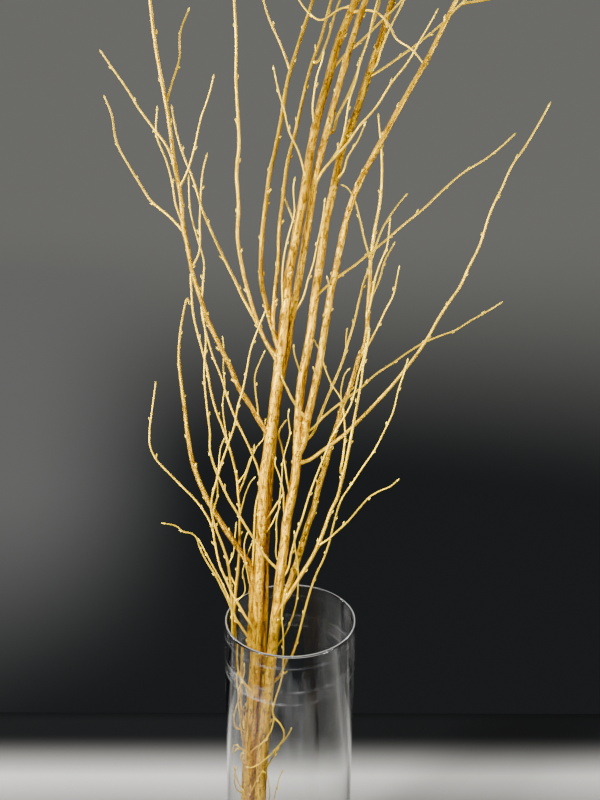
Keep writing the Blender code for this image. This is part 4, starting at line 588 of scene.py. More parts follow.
      (-1.45, 25.7), (-1.95, 25.1), (-2.57, 24.5), (-3.2, 23.95), (-3.9, 23.65), (-4.43, 23.75)]),
    ("curl", "tall", 1.9, 1.4, -2.0,
     [(-4.2, 25.3), (-4.5, 25.7), (-4.95, 25.9), (-5.3, 25.85), (-5.52, 25.5)],
     [(0, 0), (0.3, -1.2), (1, -1.5)]),
    ("wall curl", "curl", 1.6, 1.2, -0.5,
     [(-4.95, 25.9), (-5.3, 26.4), (-5.52, 26.25), (-5.65, 25.7), (-5.7, 25.1)]),
    ("small loop", "tall", 1.8, 1.3, -2.0,
     [(-4.25, 24.3), (-4.1, 24.0), (-4.45, 24.2), (-4.75, 24.4), (-4.88, 24.85), (-4.75, 25.35),
      (-4.45, 25.3)],
     [(0, 0), (0.25, -1.3), (1, -1.9)]),
    ("low wall twig", "tall", 2.0, 1.3, -1.0,
     [(-4.2, 18.6), (-4.4, 19.6), (-4.6, 20.3), (-4.85, 21.05), (-5.15, 21.75), (-5.35, 22.4),
      (-5.55, 23.1), (-5.6, 23.9)],
     [(0, 0), (0.3, -0.9), (1, -0.6)]),
    ("low wall fork", "low wall twig", 1.6, 1.2, -0.5,
     [(-4.7, 20.6), (-5.3, 20.9), (-5.5, 21.5), (-5.55, 22.2), (-5.5, 23.0), (-5.3, 23.8)]),
    ("low front fork", "low front twig", 1.5, 1.2, 0.3,
     [(-3.9, 20.9), (-4.0, 21.5), (-4.1, 22.3)]),
    # Two short twigs of the tall branch that cross in front of the others
    ("front cross twig", "tall", 2.6, 1.8, 0.5,
     [(-2.6, 50.2), (-1.82, 51.4), (-1.38, 52.15), (-0.95, 52.8), (-0.7, 53.3)]),
    ("second front cross twig", "tall", 1.8, 1.3, 0.3,
     [(-2.6, 48.7), (-1.82, 50.15), (-1.45, 51.0), (-1.03, 51.95)]),
]

STEMS = {}


class Stem:
    """A stem or twig: its drawn route with depths, its centre line and its half thickness."""

    def __init__(self, name, branch, parent, route, depths, radii):
        self.name = name
        self.branch = branch
        self.parent = parent
        self.route = np.array(route, dtype=float)
        self.depths = np.array(depths, dtype=float)
        reach = 1.0 - self.depths / EYE[1]
        flat = np.column_stack([self.route[:, 0], 0.0 * self.depths, self.route[:, 1]])
        self.line = EYE + (flat - EYE) * reach[:, None]
        self.radii = np.array(radii, dtype=float) * reach


def lengths_along(points):
    steps = np.linalg.norm(np.diff(points, axis=0), axis=1)
    return np.concatenate([[0.0], np.cumsum(steps)])


def to_metres(route):
    return np.array(route, dtype=float) * CENTIMETRE


def main_stem(name, branch, root, tip, depth, route):
    """A stem that stands in the vase. Thickness in mm, depth as (height, depth) pairs in cm."""
    points = to_metres(route)
    knots = to_metres(depth)
    share = lengths_along(points) / lengths_along(points)[-1]
    thickness = tip + (root - tip) * (1.0 - share ** 2)
    depths = np.interp(points[:, 1], knots[:, 0], knots[:, 1])
    stem = Stem(name, branch, None, points, depths, thickness * MILLIMETRE / 2)
    first = stem.line[1] - stem.line[0]
    tilt = np.hypot(first[0], first[1]) / first[2]
    stem.line[0, 2] = VASE_BASE + SEAT_GAP + stem.radii[0] * tilt
    STEMS[name] = stem


def nearest_on_route(stem, point):
    """The place on a stem's drawn route that is nearest to a point, with depth and radius."""
    best = None
    for index in range(len(stem.route) - 1):
        start, end = stem.route[index], stem.route[index + 1]
        along = np.dot(point - start, end - start) / max(np.dot(end - start, end - start), 1e-12)
        along = min(max(along, 0.0), 1.0)
        place = start + (end - start) * along
        gap = np.linalg.norm(point - place)
        if best is None or gap < best[0]:
            depth = stem.depths[index] * (1 - along) + stem.depths[index + 1] * along
            radius = stem.radii[index] * (1 - along) + stem.radii[index + 1] * along
            best = (gap, place, depth, radius)
    return best[1:]


def sampled(line, radii):
    """Points along a line at even spacing, with their radii."""
    along = lengths_along(line)
    count = max(2, int(along[-1] / SAMPLE_SPACING))
    places = np.linspace(0.0, along[-1], count)
    points = np.column_stack([np.interp(places, along, line[:, axis]) for axis in range(3)])
    return points, np.interp(places, along, radii)


def gap_to_stem(points, radii, stem):
    """The smallest gap between sampled points and a stem's surface."""
    start, end = stem.line[:-1], stem.line[1:]
    low = stem.line.min(axis=0) - ROOT_ZONE
    high = stem.line.max(axis=0) + ROOT_ZONE
    near = np.all((points > low) & (points < high), axis=1)
    if not near.any():
        return ROOT_ZONE
    points, radii = points[near], radii[near]
    run = end - start
    offset = points[:, None, :] - start[None, :, :]
    along = np.clip((offset * run).sum(axis=2) / np.maximum((run * run).sum(axis=1), 1e-12), 0, 1)
    distance = np.linalg.norm(offset - along[:, :, None] * run, axis=2)
    other = stem.radii[:-1] * (1 - along) + stem.radii[1:] * along
    return float((distance - other - radii[:, None]).min())


def room_for(line, radii, branch):
    """How much a new line clears other branches, its own branch, and the vase's wall by."""
    points, sizes = sampled(line, radii)
    free = np.linalg.norm(points - points[0], axis=1) > ROOT_ZONE + ROOT_ZONE_PER_RADIUS * radii[0]
    others = own = ROOT_ZONE
    for stem in STEMS.values():
        if stem.branch != branch:
            others = min(others, gap_to_stem(points, sizes, stem))
        elif free.any():
            own = min(own, gap_to_stem(points[free], sizes[free], stem))
    low = points[:, 2] < VASE_HEIGHT + 2 * VASE_WALL
    wall = ROOT_ZONE
    if low.any():
        inner = VASE_DIAMETER / 2 - VASE_WALL
        wall = float((inner - np.hypot(points[low, 0], points[low, 1]) - sizes[low]).min())
    return others, own, wall


def shortfall(room):
    """Zero where a line has all the room it needs; otherwise how badly it lacks it."""
    others, own, wall = room
    lack = max(0.0, CLEAR_OF_BRANCHES - others) + max(0.0, CLEAR_OF_WALL - wall)
    return WEIGHT_OF_OVERLAP * lack + max(0.0, CLEAR_OF_TWIGS - own)


def twig(name, parent, root, tip, lean, route, bow=None):
    """A side stem or twig. Thickness in mm, lean is the depth in cm that its tip gains.

    A bow gives the depth gained at shares of the length instead, for a twig that swings
    round what it crosses. Where there is no room, the twig leans further either way.
    """
    carrier = STEMS[parent]
    points = to_metres(route)
    place, depth, carrier_radius = nearest_on_route(carrier, points[0])
    outside = np.linalg.norm(points - place, axis=1) > carrier_radius
    points = np.vstack([place, points[outside]])
    share = lengths_along(points) / lengths_along(points)[-1]
    radii = (root + (tip - root) * share) * MILLIMETRE / 2
    steps = [0]
    for step in range(1, DEPTH_STEPS):
        steps += [step, -step]
    best = None
    for step, bend in [(step, bend) for step in steps for bend in DEPTH_BENDS]:
        depths = depth + (lean * CENTIMETRE + step * DEPTH_STEP) * share ** bend
        if bow:
            shares, gains = zip(*bow)
            gained = np.interp(share, shares, gains) * CENTIMETRE
            depths = depth + gained + step * DEPTH_STEP * share
        stem = Stem(name, carrier.branch, parent, points, depths, radii)
        lack = shortfall(room_for(stem.line, stem.radii, stem.branch))
        if best is None or lack < best[0] - HARDLY_LESS:
            best = (lack, stem)
        if lack == 0.0:
            break
    STEMS[name] = best[1]


def crown_twig(name, carrier, index, turn, length, rng):
    """A twig that follows the rule of the crown: it leaves at an angle and bends upwards."""
    root = carrier.line[index]
    stem_way = carrier.line[index + 1] - carrier.line[index - 1]
    stem_way = stem_way / np.linalg.norm(stem_way)
    side = np.cross(stem_way, [0.0, 1.0, 0.0])
    side = side / np.linalg.norm(side)
    other = np.cross(stem_way, side)
    leaves_at = CROWN_ANGLE + rng.uniform(-CROWN_SPREAD, CROWN_SPREAD)
    best = None
    for extra in CROWN_OTHER_TURNS:
        outward = side * math.cos(turn + extra) + other * math.sin(turn + extra)
        way = stem_way * math.cos(leaves_at) + outward * math.sin(leaves_at)
        points = [root]
        count = max(4, round(length / CROWN_STEP))
        for step in range(count):
            points.append(points[-1] + way * length / count)
            wave = CROWN_WAVE * math.sin(CROWN_WAVE_TURN * step + turn)
            way = way + np.array([0.0, 0.0, CROWN_RISE]) + outward * wave
            way = way / np.linalg.norm(way)
        line = np.array(points)
        radii = np.linspace(CROWN_THICKNESS, CROWN_THICKNESS * CROWN_TAPER, len(line)) / 2
        stem = Stem(name, carrier.branch, carrier.name, line[:, ::2], line[:, 1], radii)
        stem.line = line
        stem.radii = radii
        lack = shortfall(room_for(line, radii, carrier.branch))
        if best is None or lack < best[0] - HARDLY_LESS:
            best = (lack, stem)
        if lack == 0.0:
            break
    STEMS[name] = best[1]


def draw_crown():
    """Twigs on the upper stems, alternating round each of them, shorter towards its tip."""
    rng = random.Random(CROWN_SEED)
    for carrier in [stem for stem in STEMS.values() if stem.line[-1, 2] > CROWN_START]:
        turn = rng.uniform(0.0, 2 * math.pi)
        along = lengths_along(carrier.line)
        last = None
        for index in range(1, len(carrier.line) - 1):
            left = along[-1] - along[index]
            if carrier.line[index, 2] < CROWN_START or left < CROWN_BARE_TIP:
                continue
            if last is not None and along[index] - last < CROWN_SPACING * CROWN_CLOSEST:
                continue
            last = along[index]
            turn += CROWN_TURN
            length = min(CROWN_TWIG, CROWN_SHORTEST + CROWN_SHARE_LEFT * left)
            length = length * rng.uniform(*CROWN_VARIES)
            crown_twig(f"{carrier.name} crown {index}", carrier, index, turn, length, rng)


def dice(stem, extra=0):
    """Random draws that belong to one stem, by its name."""
    return random.Random(sum(ord(letter) for letter in stem.name) + extra)


def spot_on(stem, along, place):
    """The centre, direction and half thickness of a stem at a place along it."""
    centre, ahead = (Vector([np.interp(spot, along, stem.line[:, axis]) for axis in range(3)])
                     for spot in (place, place + LOOK_AHEAD))
    return centre, (ahead - centre).normalized(), np.interp(place, along, stem.radii)


def bud_places(stem):
    """Places and directions of a twig's buds, alternating from side to side."""
    along = lengths_along(stem.line)
    rng = dice(stem)
    places = []
    place = BUD_SPACING * rng.uniform(*BUD_FIRST)
    side = 1.0 if rng.random() < 0.5 else -1.0
    while place < along[-1] - BUD_LAST * BUD_SPACING:
        centre, way, radius = spot_on(stem, along, place)
        outward = way.cross(Vector((0.0, 1.0, 0.0)))
        turned = Vector((0.0, rng.uniform(-BUD_TURN, BUD_TURN), 0.0))
        outward = (outward.normalized() + turned) * side
        outward = (outward - way * outward.dot(way)).normalized()
        if radius < MAIN_STEM:
            places.append((centre, way, outward, radius))
        place += BUD_SPACING * rng.uniform(*BUD_NEXT)
        side = -side
    return places


def bud_has_room(tip, branch):
    """Whether a bud's tip clears the other branches and the vase's wall."""
    spot = np.array([tip])
    reach = np.array([BUD_HALF_WIDTH])
    others = (stem for stem in STEMS.values() if stem.branch != branch)
    wall = VASE_DIAMETER / 2 - VASE_WALL - math.hypot(tip[0], tip[1]) - BUD_HALF_WIDTH
    if tip[2] < VASE_HEIGHT + BUD_LENGTH and wall < CLEAR_OF_WALL:
        return False
    return min(gap_to_stem(spot, reach, stem) for stem in others) > CLEAR_OF_TWIGS


def placed(name, data):
    """A new object in the scene."""
    made = bpy.data.objects.new(name, data)
    bpy.context.scene.collection.objects.link(made)
    return made


class Surface:
    """Vertices and faces of one branch, with the values that its material reads."""

    def __init__(self):
        self.points = []
        self.faces = []
        self.grain = []
        self.girth = []
        self.pale = []
        self.count = 0

    def add_rings(self, rings, grain, girth, pale):
        """A closed tube of rings of points, capped with a fan at each end."""
        number, sides = rings.shape[:2]
        first = self.count
        for values, store in ((rings, self.points), (grain, self.grain)):
            ends = np.array([values[0].mean(axis=0), values[-1].mean(axis=0)])
            store.append(np.vstack([values.reshape(-1, 3), ends]))
        for values, store in ((girth, self.girth), (pale, self.pale)):
            store.append(np.concatenate([np.repeat(values, sides), [values[0], values[-1]]]))
        column = np.arange(sides)
        following = (column + 1) % sides
        for ring in range(number - 1):
            low, high = first + ring * sides, first + (ring + 1) * sides
            quads = [low + column, low + following, high + following, high + column]
            self.faces.extend(map(tuple, np.column_stack(quads).tolist()))
        root, tip = first + number * sides, first + number * sides + 1
        last = first + (number - 1) * sides
        for side in range(sides):
            self.faces.append((root, first + int(following[side]), first + side))
            self.faces.append((tip, last + side, last + int(following[side])))
        self.count += number * sides + 2

    def to_object(self, name, material):
        mesh = bpy.data.meshes.new(name)
        mesh.from_pydata(np.vstack(self.points).tolist(), [], self.faces)
        grain = mesh.attributes.new("grain", "FLOAT_VECTOR", "POINT")
        grain.data.foreach_set("vector", np.vstack(self.grain).astype(np.float32).ravel())
        for title, values in (("girth", self.girth), ("pale", self.pale)):
            layer = mesh.attributes.new(title, "FLOAT", "POINT")
            layer.data.foreach_set("value", np.concatenate(values).astype(np.float32))
        mesh.materials.append(material)
        mesh.shade_smooth()
        return placed(name, mesh)


def unit(vectors):
    return vectors / np.maximum(np.linalg.norm(vectors, axis=-1, keepdims=True), 1e-12)


def smooth_line(stem, spacing):
    """A smooth curve through a stem's points at even spacing, with its radii and lengths."""
    along = lengths_along(stem.line)
    slopes = np.gradient(stem.line, along, axis=0)
    count = max(5, int(along[-1] / spacing))
    places = np.linspace(0.0, along[-1], count)
    index = np.clip(np.searchsorted(along, places, side="right") - 1, 0, len(along) - 2)
    width = (along[index + 1] - along[index])[:, None]
    t = (places - along[index])[:, None] / width
    points = ((2 * t ** 3 - 3 * t ** 2 + 1) * stem.line[index]
              + (t ** 3 - 2 * t ** 2 + t) * width * slopes[index]
              + (3 * t ** 2 - 2 * t ** 3) * stem.line[index + 1]
              + (t ** 3 - t ** 2) * width * slopes[index + 1])
    return points, np.interp(places, along, stem.radii), places


def sides_along(points):
    """Directions along a line, and two sides across it that turn as little as they can."""
    ways = unit(np.gradient(points, axis=0))
    side = unit(np.cross(ways[0], [0.1, 1.0, 0.0]))
    sides = []
    for way in ways:
        side = unit(side - way * np.dot(side, way))
        sides.append(side)
    sides = np.array(sides)
    return ways, sides, np.cross(ways, sides)


def bump(points, centre, radius, reach):
    """A smooth rise round a centre, which reaches so many radii and a little more."""
    gap = np.linalg.norm(points - np.array(centre), axis=1)
    return np.exp(-(gap / (reach[0] * radius + reach[1])) ** 2)


def swelling_along(stem, children, points):
    """How much thicker a stem is at its buds, at its forks and at its own root."""
    swelling = np.zeros(len(points))
    for centre, _, _, radius in bud_places(stem):
        swelling += BUD_SWELLING * bump(points, centre, radius, BUD_REACH)
    height = FORK_SWELLING_THICK if stem.radii[0] > MAIN_STEM else FORK_SWELLING
    for child in children:
        swelling += height * bump(points, child.line[0], child.radii[0], FORK_REACH)
    if stem.parent is not None:
        start = np.linalg.norm(points - points[0], axis=1) - parent_radius(stem)
        reach = COLLAR_REACH[0] * stem.radii[0] + COLLAR_REACH[1]
        collar = min(COLLAR_MOST, COLLAR / stem.radii[0])
        swelling += collar * np.exp(-(np.maximum(start, 0) / reach) ** 2)
    return swelling


def ripples_along(places, angles, rng):
    """Low ridges round a stem and waves along it, as shares of its half thickness."""
    ripples = np.zeros((len(places), len(angles)))
    for lobes, height, drift in RIDGES:
        phase = rng.uniform(0, 2 * math.pi)
        turn = rng.uniform(-1, 1) * drift * places[:, None]
        ripples += height * np.cos(lobes * angles[None, :] + phase + turn)
    for length, height in WAVES:
        phase = rng.uniform(0, 2 * math.pi)
        ripples += height * np.cos(2 * math.pi * places[:, None] / length + phase + angles[None, :])
    return ripples


def stem_surface(surface, stem, children):
    """A stem's bark: swollen joints, low ridges and waves, and a bud at its tip."""
    rng = dice(stem, BARK_DRAWS)
    thick = stem.radii[0] > MAIN_STEM
    middle = stem.radii[0] > SIDE_STEM
    sides = THICK_SIDES if thick else MIDDLE_SIDES if middle else THIN_SIDES
    spacing = THICK_SPACING if thick else MIDDLE_SPACING if middle else THIN_SPACING
    points, radii, places = smooth_line(stem, spacing)
    radii = radii * np.interp(radii, [SIDE_STEM / 2, MAIN_STEM / 2], [TWIG_SHARE, 1.0])
    ways, side, other = sides_along(points)
    angles = np.linspace(0.0, 2 * math.pi, sides, endpoint=False)
    swelling = swelling_along(stem, children, points)
    ripples = ripples_along(places, angles, rng)
    left = places[-1] - places
    thinning = np.clip(left / TIP_BUD, THINNEST_AT_TIP, 1.0)
    size = (radii * thinning)[:, None] * (1 + swelling[:, None] + ripples)
    across = (np.cos(angles)[None, :, None] * side[:, None, :]
              + np.sin(angles)[None, :, None] * other[:, None, :])
    rings = points[:, None, :] + size[:, :, None] * across
    if stem.parent is None:
        rings[0] = points[0] + FOOT_SHARE * (rings[0] - points[0])
    offset = np.array([rng.uniform(-GRAIN_OFFSET, GRAIN_OFFSET) for _ in range(3)])
    grain = np.empty_like(rings)
    grain[:, :, 0] = np.cos(angles)[None, :] * radii[:, None]
    grain[:, :, 1] = np.sin(angles)[None, :] * radii[:, None]
    grain[:, :, 2] = places[:, None]
    pale = np.clip(1 - left / PALE_END, 0, 1) * (0 if thick else PALE_OF_TWIGS)
    surface.add_rings(rings, grain + offset, radii, pale)
    tip_way = Vector(ways[-1])
    foot = Vector(points[-1]) - tip_way * (TIP_BUD_SUNK * TIP_BUD + TIP_SET_BACK)
    width = max(radii[-1] * TIP_BUD_WIDER, TIP_BUD_LEAST)
    turned_surface(surface, foot, tip_way, tip_way, TIP_BUD, width, BUD_PROFILE, 1.0)


def parent_radius(stem):
    carrier = STEMS[stem.parent]
    return carrier.radii[int(np.linalg.norm(carrier.line - stem.line[0], axis=1).argmin())]


def turned_surface(surface, foot, lean, upward, length, half_width, profile, paleness):
    """A small turned form, such as a bud, that starts along one direction and bends to another."""
    angles = np.linspace(0.0, 2 * math.pi, TURNED_SIDES, endpoint=False)
    side = lean.orthogonal().normalized()
    other = lean.cross(side)
    circle = np.cos(angles)[:, None] * np.array(side) + np.sin(angles)[:, None] * np.array(other)
    rings = []
    centre = np.array(foot)
    before = 0.0
    for share, width in profile:
        way = (lean * (1 - 0.5 * share) + upward * 0.5 * share).normalized()
        centre = centre + np.array(way) * (share - before) * length
        before = share
        rings.append(centre + circle * width * half_width)
    rings = np.array(rings)
    shares = np.array([share for share, _ in profile])
    pale = paleness * (TURNED_PALE[0] + TURNED_PALE[1] * shares)
    surface.add_rings(rings, rings, np.full(len(profile), half_width), pale)


def buds_and_spurs(surface, stem):
    """Buds, and ringed spurs that carry a bud, on alternate sides of a stem."""
    rng = dice(stem, BUD_DRAWS)
    for centre, way, outward, radius in bud_places(stem):
        end = centre + way * BUD_LENGTH + outward * (radius + BUD_LENGTH * math.sin(BUD_ANGLE))
        if not bud_has_room(end, stem.branch):
            continue
        on_spur = radius > SPUR_STEM and rng.random() < SPUR_SHARE
        size = rng.uniform(*BUD_SIZES)
        if on_spur:
            angle = math.radians(rng.uniform(*SPUR_ANGLES))
            length = rng.uniform(*SPUR_LENGTHS) + SPUR_SUNK * radius
            lean = (way * math.cos(angle) + outward * math.sin(angle)).normalized()
            foot = centre + outward * radius * SPUR_FOOT
            turned_surface(surface, foot, lean, way, length, SPUR_HALF_WIDTH, SPUR_PROFILE, SPUR_PALE)
            upwards = (lean * SPUR_HEAD_WAY[0] + way * SPUR_HEAD_WAY[1]).normalized()
            head = foot + upwards * length * SPUR_HEAD
            turned_surface(surface, head, lean, way, SPUR_BUD * size, BUD_HALF_WIDTH * BUD_SHARE,
                           BUD_PROFILE, 1.0)
        else:
            lean = (way * math.cos(BUD_ANGLE) + outward * math.sin(BUD_ANGLE)).normalized()
            foot = centre + outward * max(radius - BUD_SUNK * BUD_HALF_WIDTH, 0.0)
            turned_surface(surface, foot, lean, way, BUD_LENGTH * BUD_SHARE * size,
                           BUD_HALF_WIDTH * BUD_SHARE * size, BUD_PROFILE, BUD_PALE)


def knobs(surface, stem):
    """Low knobs on a thick stem, where twigs once grew."""
    rng = dice(stem, KNOB_DRAWS)
    along = lengths_along(stem.line)
    place = KNOB_SPACING * rng.uniform(*KNOB_FIRST)
    while place < along[-1] - KNOB_SPACING:
        centre, way, radius = spot_on(stem, along, place)
        angle = rng.uniform(0, 2 * math.pi)
        side = way.orthogonal().normalized()
        outward = (side * math.cos(angle) + way.cross(side) * math.sin(angle)).normalized()
        if radius > KNOB_STEM:
            lean = (outward * KNOB_WAY[0] + way * KNOB_WAY[1]).normalized()
            height = rng.choice(KNOB_HEIGHTS)
            foot = centre + outward * (radius - KNOB_SUNK)
            if bud_has_room(foot + lean * (height + KNOB_CLEAR), stem.branch):
                turned_surface(surface, foot, lean, way, height + KNOB_SUNK,
                               rng.uniform(*KNOB_WIDTHS), KNOB_PROFILE, KNOB_PALE)
        place += KNOB_SPACING * rng.uniform(*KNOB_NEXT)


def fine_branch(name, material):
    """One branch rebuilt finely, in the place of its node."""
    stems = [stem for stem in STEMS.values() if stem.branch == name]
    surface = Surface()
    for stem in stems:
        stem_surface(surface, stem, [child for child in stems if child.parent == stem.name])
        buds_and_spurs(surface, stem)
        knobs(surface, stem)
    piece = surface.to_object(name + "_bark", material)
    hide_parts(name)
    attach(piece, "root")


def vase_profile():
    """Half of the vase's section, with the part's sizes and finer arcs."""
    outer = VASE_DIAMETER / 2
    inner = outer - VASE_WALL
    rim = VASE_WALL / 2
    foot = VASE_FOOT_ROUNDING
    points = [(0.0, VASE_BASE), (inner - foot, VASE_BASE)]
    for step in range(1, FOOT_STEPS + 1):
        angle = math.radians(-90 + 90 * step / FOOT_STEPS)
        points.append((inner - foot * (1 - math.cos(angle)),
                       VASE_BASE + foot * (1 + math.sin(angle))))
    for share in (0.25, 0.5, 0.75):
        points.append((inner, VASE_BASE + (VASE_HEIGHT - VASE_BASE) * share))
    for step in range(RIM_STEPS + 1):
        angle = math.radians(180 - 180 / RIM_STEPS * step)
        points.append((outer - rim + rim * math.cos(angle),
                       VASE_HEIGHT - rim + rim * math.sin(angle)))
    for share in (0.75, 0.5, 0.25):
        points.append((outer, VASE_HEIGHT * share))
    for step in range(FOOT_STEPS + 1):
        angle = math.radians(-90 * step / FOOT_STEPS)
        points.append((outer - foot * (1 - math.cos(angle)), foot * (1 + math.sin(angle))))
    points.append((0.0, 0.0))
    return points


def fine_vase(material):
    profile = vase_profile()
    mesh = bpy.data.meshes.new("vase_glass")
    edges = [(index, index + 1) for index in range(len(profile) - 1)]
    mesh.from_pydata([(x, 0.0, z) for x, z in profile], edges, [])
    mesh.materials.append(material)
    vase = placed("vase_glass", mesh)
    turn = vase.modifiers.new("turned", "SCREW")
    turn.steps = VASE_SIDES
    turn.render_steps = VASE_SIDES
    turn.use_merge_vertices = True
    turn.merge_threshold = WELD
    turn.use_smooth_shade = True
    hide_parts("vase")
    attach(vase, "root")


class Nodes:
    """Short calls for building the node tree of a material or of the world."""

    def __init__(self, owner, shader):
        owner.use_nodes = True
        self.owner = owner
        self.tree = owner.node_tree
        self.shader = self.tree.nodes[shader]

    def put(self, socket, value):
        """Link an output to a socket, or set it to a number, a vector or a colour."""
        if isinstance(value, bpy.types.NodeSocket):
            self.tree.links.new(value, socket)
        elif socket.type == "RGBA":
            socket.default_value = (*value, 1.0)
        else:
            socket.default_value = value

    def finish(self, **values):
        """Set the shader's sockets, which are named here with lines for spaces."""
        for name, value in values.items():
            self.put(self.shader.inputs[name.replace("_", " ")], value)
        return self.owner

    def make(self, kind, **settings):
        node = self.tree.nodes.new(kind)
        for key, value in settings.items():
            setattr(node, key, value)
        return node

    def position(self, kind):
        """Coordinates of one kind, with their X, Y and Z."""
        place = self.make("ShaderNodeTexCoord").outputs[kind]
        split = self.make("ShaderNodeSeparateXYZ")
        self.put(split.inputs["Vector"], place)
        return place, split.outputs

    def texture(self, source, stretch, scale, detail, roughness):
        """Noise that is stretched along one axis."""
        mapping = self.make("ShaderNodeMapping")
        self.put(mapping.inputs["Scale"], stretch)
        self.put(mapping.inputs["Vector"], source)
        return self.noise(mapping.outputs["Vector"], scale, detail, roughness)

    def noise(self, source, scale, detail=3.0, roughness=0.55):
        node = self.make("ShaderNodeTexNoise")
        for name, value in (("Vector", source), ("Scale", scale), ("Detail", detail),
                            ("Roughness", roughness)):
            self.put(node.inputs[name], value)
        return node.outputs["Fac"]

    def ramp(self, source, low, high, first=0.0, last=1.0, kind="LINEAR"):
        node = self.make("ShaderNodeMapRange", clamp=True, interpolation_type=kind)
        for name, value in (("Value", source), ("From Min", low), ("From Max", high),
                            ("To Min", first), ("To Max", last)):
            self.put(node.inputs[name], value)
        return node.outputs["Result"]

    def math(self, operation, first, second=0.0):
        node = self.make("ShaderNodeMath", operation=operation)
        for socket, value in zip(node.inputs, (first, second)):
            self.put(socket, value)
        return node.outputs["Value"]

    def mix(self, share, first, second, blend="MIX"):
        node = self.make("ShaderNodeMix", data_type="RGBA", blend_type=blend)
        for name, value in (("Factor", share), ("A", first), ("B", second)):
            self.put(node.inputs[name], value)
        return node.outputs["Result"]


def gilded_bark():
    """Gold paint over bark: streaks along the stem, with a painted highlight on them and painted
    shade in the grooves between them, fine pits, cross marks, paler twigs and tips.
    """
    nodes = Nodes(bpy.data.materials.new("gilded bark"), "Principled BSDF")
    grain, girth, pale = (
        nodes.make("ShaderNodeAttribute", attribute_name=name).outputs[output]
        for name, output in (("grain", "Vector"), ("girth", "Fac"), ("pale", "Fac")))
    thick = nodes.ramp(girth, *TWIG_TO_STEM)
    blotches, streaks, pits, marks = (
        nodes.texture(grain, *kind) for kind in (BLOTCHES, STREAKS, PITS, MARKS))
    colour = nodes.mix(nodes.ramp(blotches, *LIGHT_BLOTCHES), DEEP_GOLD, LIGHT_GOLD)
    colour = nodes.mix(nodes.ramp(girth, *OLD_ON_THIN_STEMS), colour, OLD_GOLD)
    # Pale gold on the high streaks, partly grain and partly a painted highlight
    colour = nodes.mix(nodes.ramp(streaks, *PALE_STREAKS_AND_HIGHLIGHT), colour, PALE_GOLD)
    colour = nodes.mix(nodes.ramp(girth, *PALE_TWIGS), colour, PALE_GOLD)
    # Painted shade: brown in the low grooves between the streaks
    groove_shade = nodes.ramp(streaks, *BROWN_GROOVE_SHADE)
    sunk = nodes.ramp(pits, *BROWN_PITS)
    across = nodes.ramp(marks, *BROWN_MARKS)
    # Brown mixed in, weaker on twigs: painted shade in the grooves, and the pits and cross marks of
    # the bark
    for share, on_twigs in ((groove_shade, 0.2), (sunk, 0.1), (across, 0.0)):
        share = nodes.math("MULTIPLY", share, nodes.ramp(thick, 0.0, 1.0, on_twigs, 1.0))
        colour = nodes.mix(share, colour, BROWN)
    colour = nodes.mix(nodes.math("MULTIPLY", pale, CREAM_ON_BUDS), colour, CREAM)
    rough = nodes.ramp(nodes.noise(grain, 400.0), 0.3, 0.7, *BARK_ROUGHNESS)
    height = nodes.math("ADD", streaks, nodes.math("MULTIPLY", marks, 0.12))
    height = nodes.math("SUBTRACT", height, nodes.math("MULTIPLY", sunk, 0.5))
    relief = nodes.make("ShaderNodeBump")
    nodes.put(relief.inputs["Strength"], 1.0)
    nodes.put(relief.inputs["Distance"], BARK_RELIEF)
    nodes.put(relief.inputs["Height"],
              nodes.math("MULTIPLY", height, nodes.ramp(thick, 0.0, 1.0, 0.15, 1.0)))
    return nodes.finish(Base_Color=colour, Roughness=rough, Metallic=BARK_METALLIC,
                        Specular_Tint=BARK_GLOSS, Normal=relief.outputs["Normal"])


def clear_glass():
    """Clear glass with faint wipe and water marks, and a thin milky band along the top of the rim
    that is a painted highlight.
    """
    nodes = Nodes(bpy.data.materials.new("clear glass"), "Principled BSDF")
    place, axes = nodes.position("Object")
    # A painted highlight: milky along the top of the rim
    rim = nodes.ramp(axes["Z"], *(VASE_HEIGHT - depth for depth in RIM_HIGHLIGHT_DEPTHS))
    haze = nodes.ramp(nodes.texture(place, *WIPES), *WIPE_HAZE)
    marks_and_rim_highlight = nodes.math("MAXIMUM", haze, nodes.math("MULTIPLY", rim, RIM_HIGHLIGHT_STRENGTH))
    broken = nodes.ramp(nodes.noise(place, 45.0), *BROKEN_MARKS)
    upper, lower = WATER_MARKS[1][0], WATER_MARKS[2][0]
    above = nodes.ramp(axes["Z"], lower, lower + WATER_MARK_WIDTH)
    below = nodes.ramp(axes["Z"], upper - WATER_MARK_WIDTH, upper, 1.0, 0.0)
    film = nodes.math("MULTIPLY", nodes.math("MULTIPLY", above, below), WATER_FILM)
    for mark, strength in WATER_MARKS:
        away = nodes.math("ABSOLUTE", nodes.math("SUBTRACT", axes["Z"], mark))
        film = nodes.math("MAXIMUM", film, nodes.ramp(away, 0.0, WATER_MARK_WIDTH, strength, 0.0))
    marks_and_rim_highlight = nodes.math("MAXIMUM", marks_and_rim_highlight, nodes.math("MULTIPLY", film, broken))
    clearness = nodes.math("SUBTRACT", 1.0, marks_and_rim_highlight)
    return nodes.finish(Transmission_Weight=clearness, Base_Color=GLASS, Roughness=0.01, IOR=1.45,
                        Specular_Tint=GLASS_GLOSS)


def table_top():
    """A plain pale top, brightest in a painted highlight band behind the vase, with painted shade
    towards its far edge and dimmer painted shade in front.
    """
    nodes = Nodes(bpy.data.materials.new("pale table"), "Principled BSDF")
    away = nodes.position("Object")[1]["Y"]
    # Painted shade: the far part darkens with Y
    far_shade = nodes.math("POWER", nodes.ramp(away, *TABLE_FAR_SHADE, 1.0, 0.0), TABLE_FAR_SHADE_FALL)
    # Painted shade: the part in front of the vase is dimmer, so the band behind the vase is a painted
    # highlight
    before = nodes.ramp(away, *TABLE_FRONT_SHADE_ENDS, TABLE_FRONT_SHADE, 1.0)
    colour = nodes.mix(nodes.math("MULTIPLY", far_shade, before), TABLE_SHADE_COLOUR, TABLE_PALE)
    return nodes.finish(Base_Color=colour, Roughness=0.85, Specular_IOR_Level=0.05)


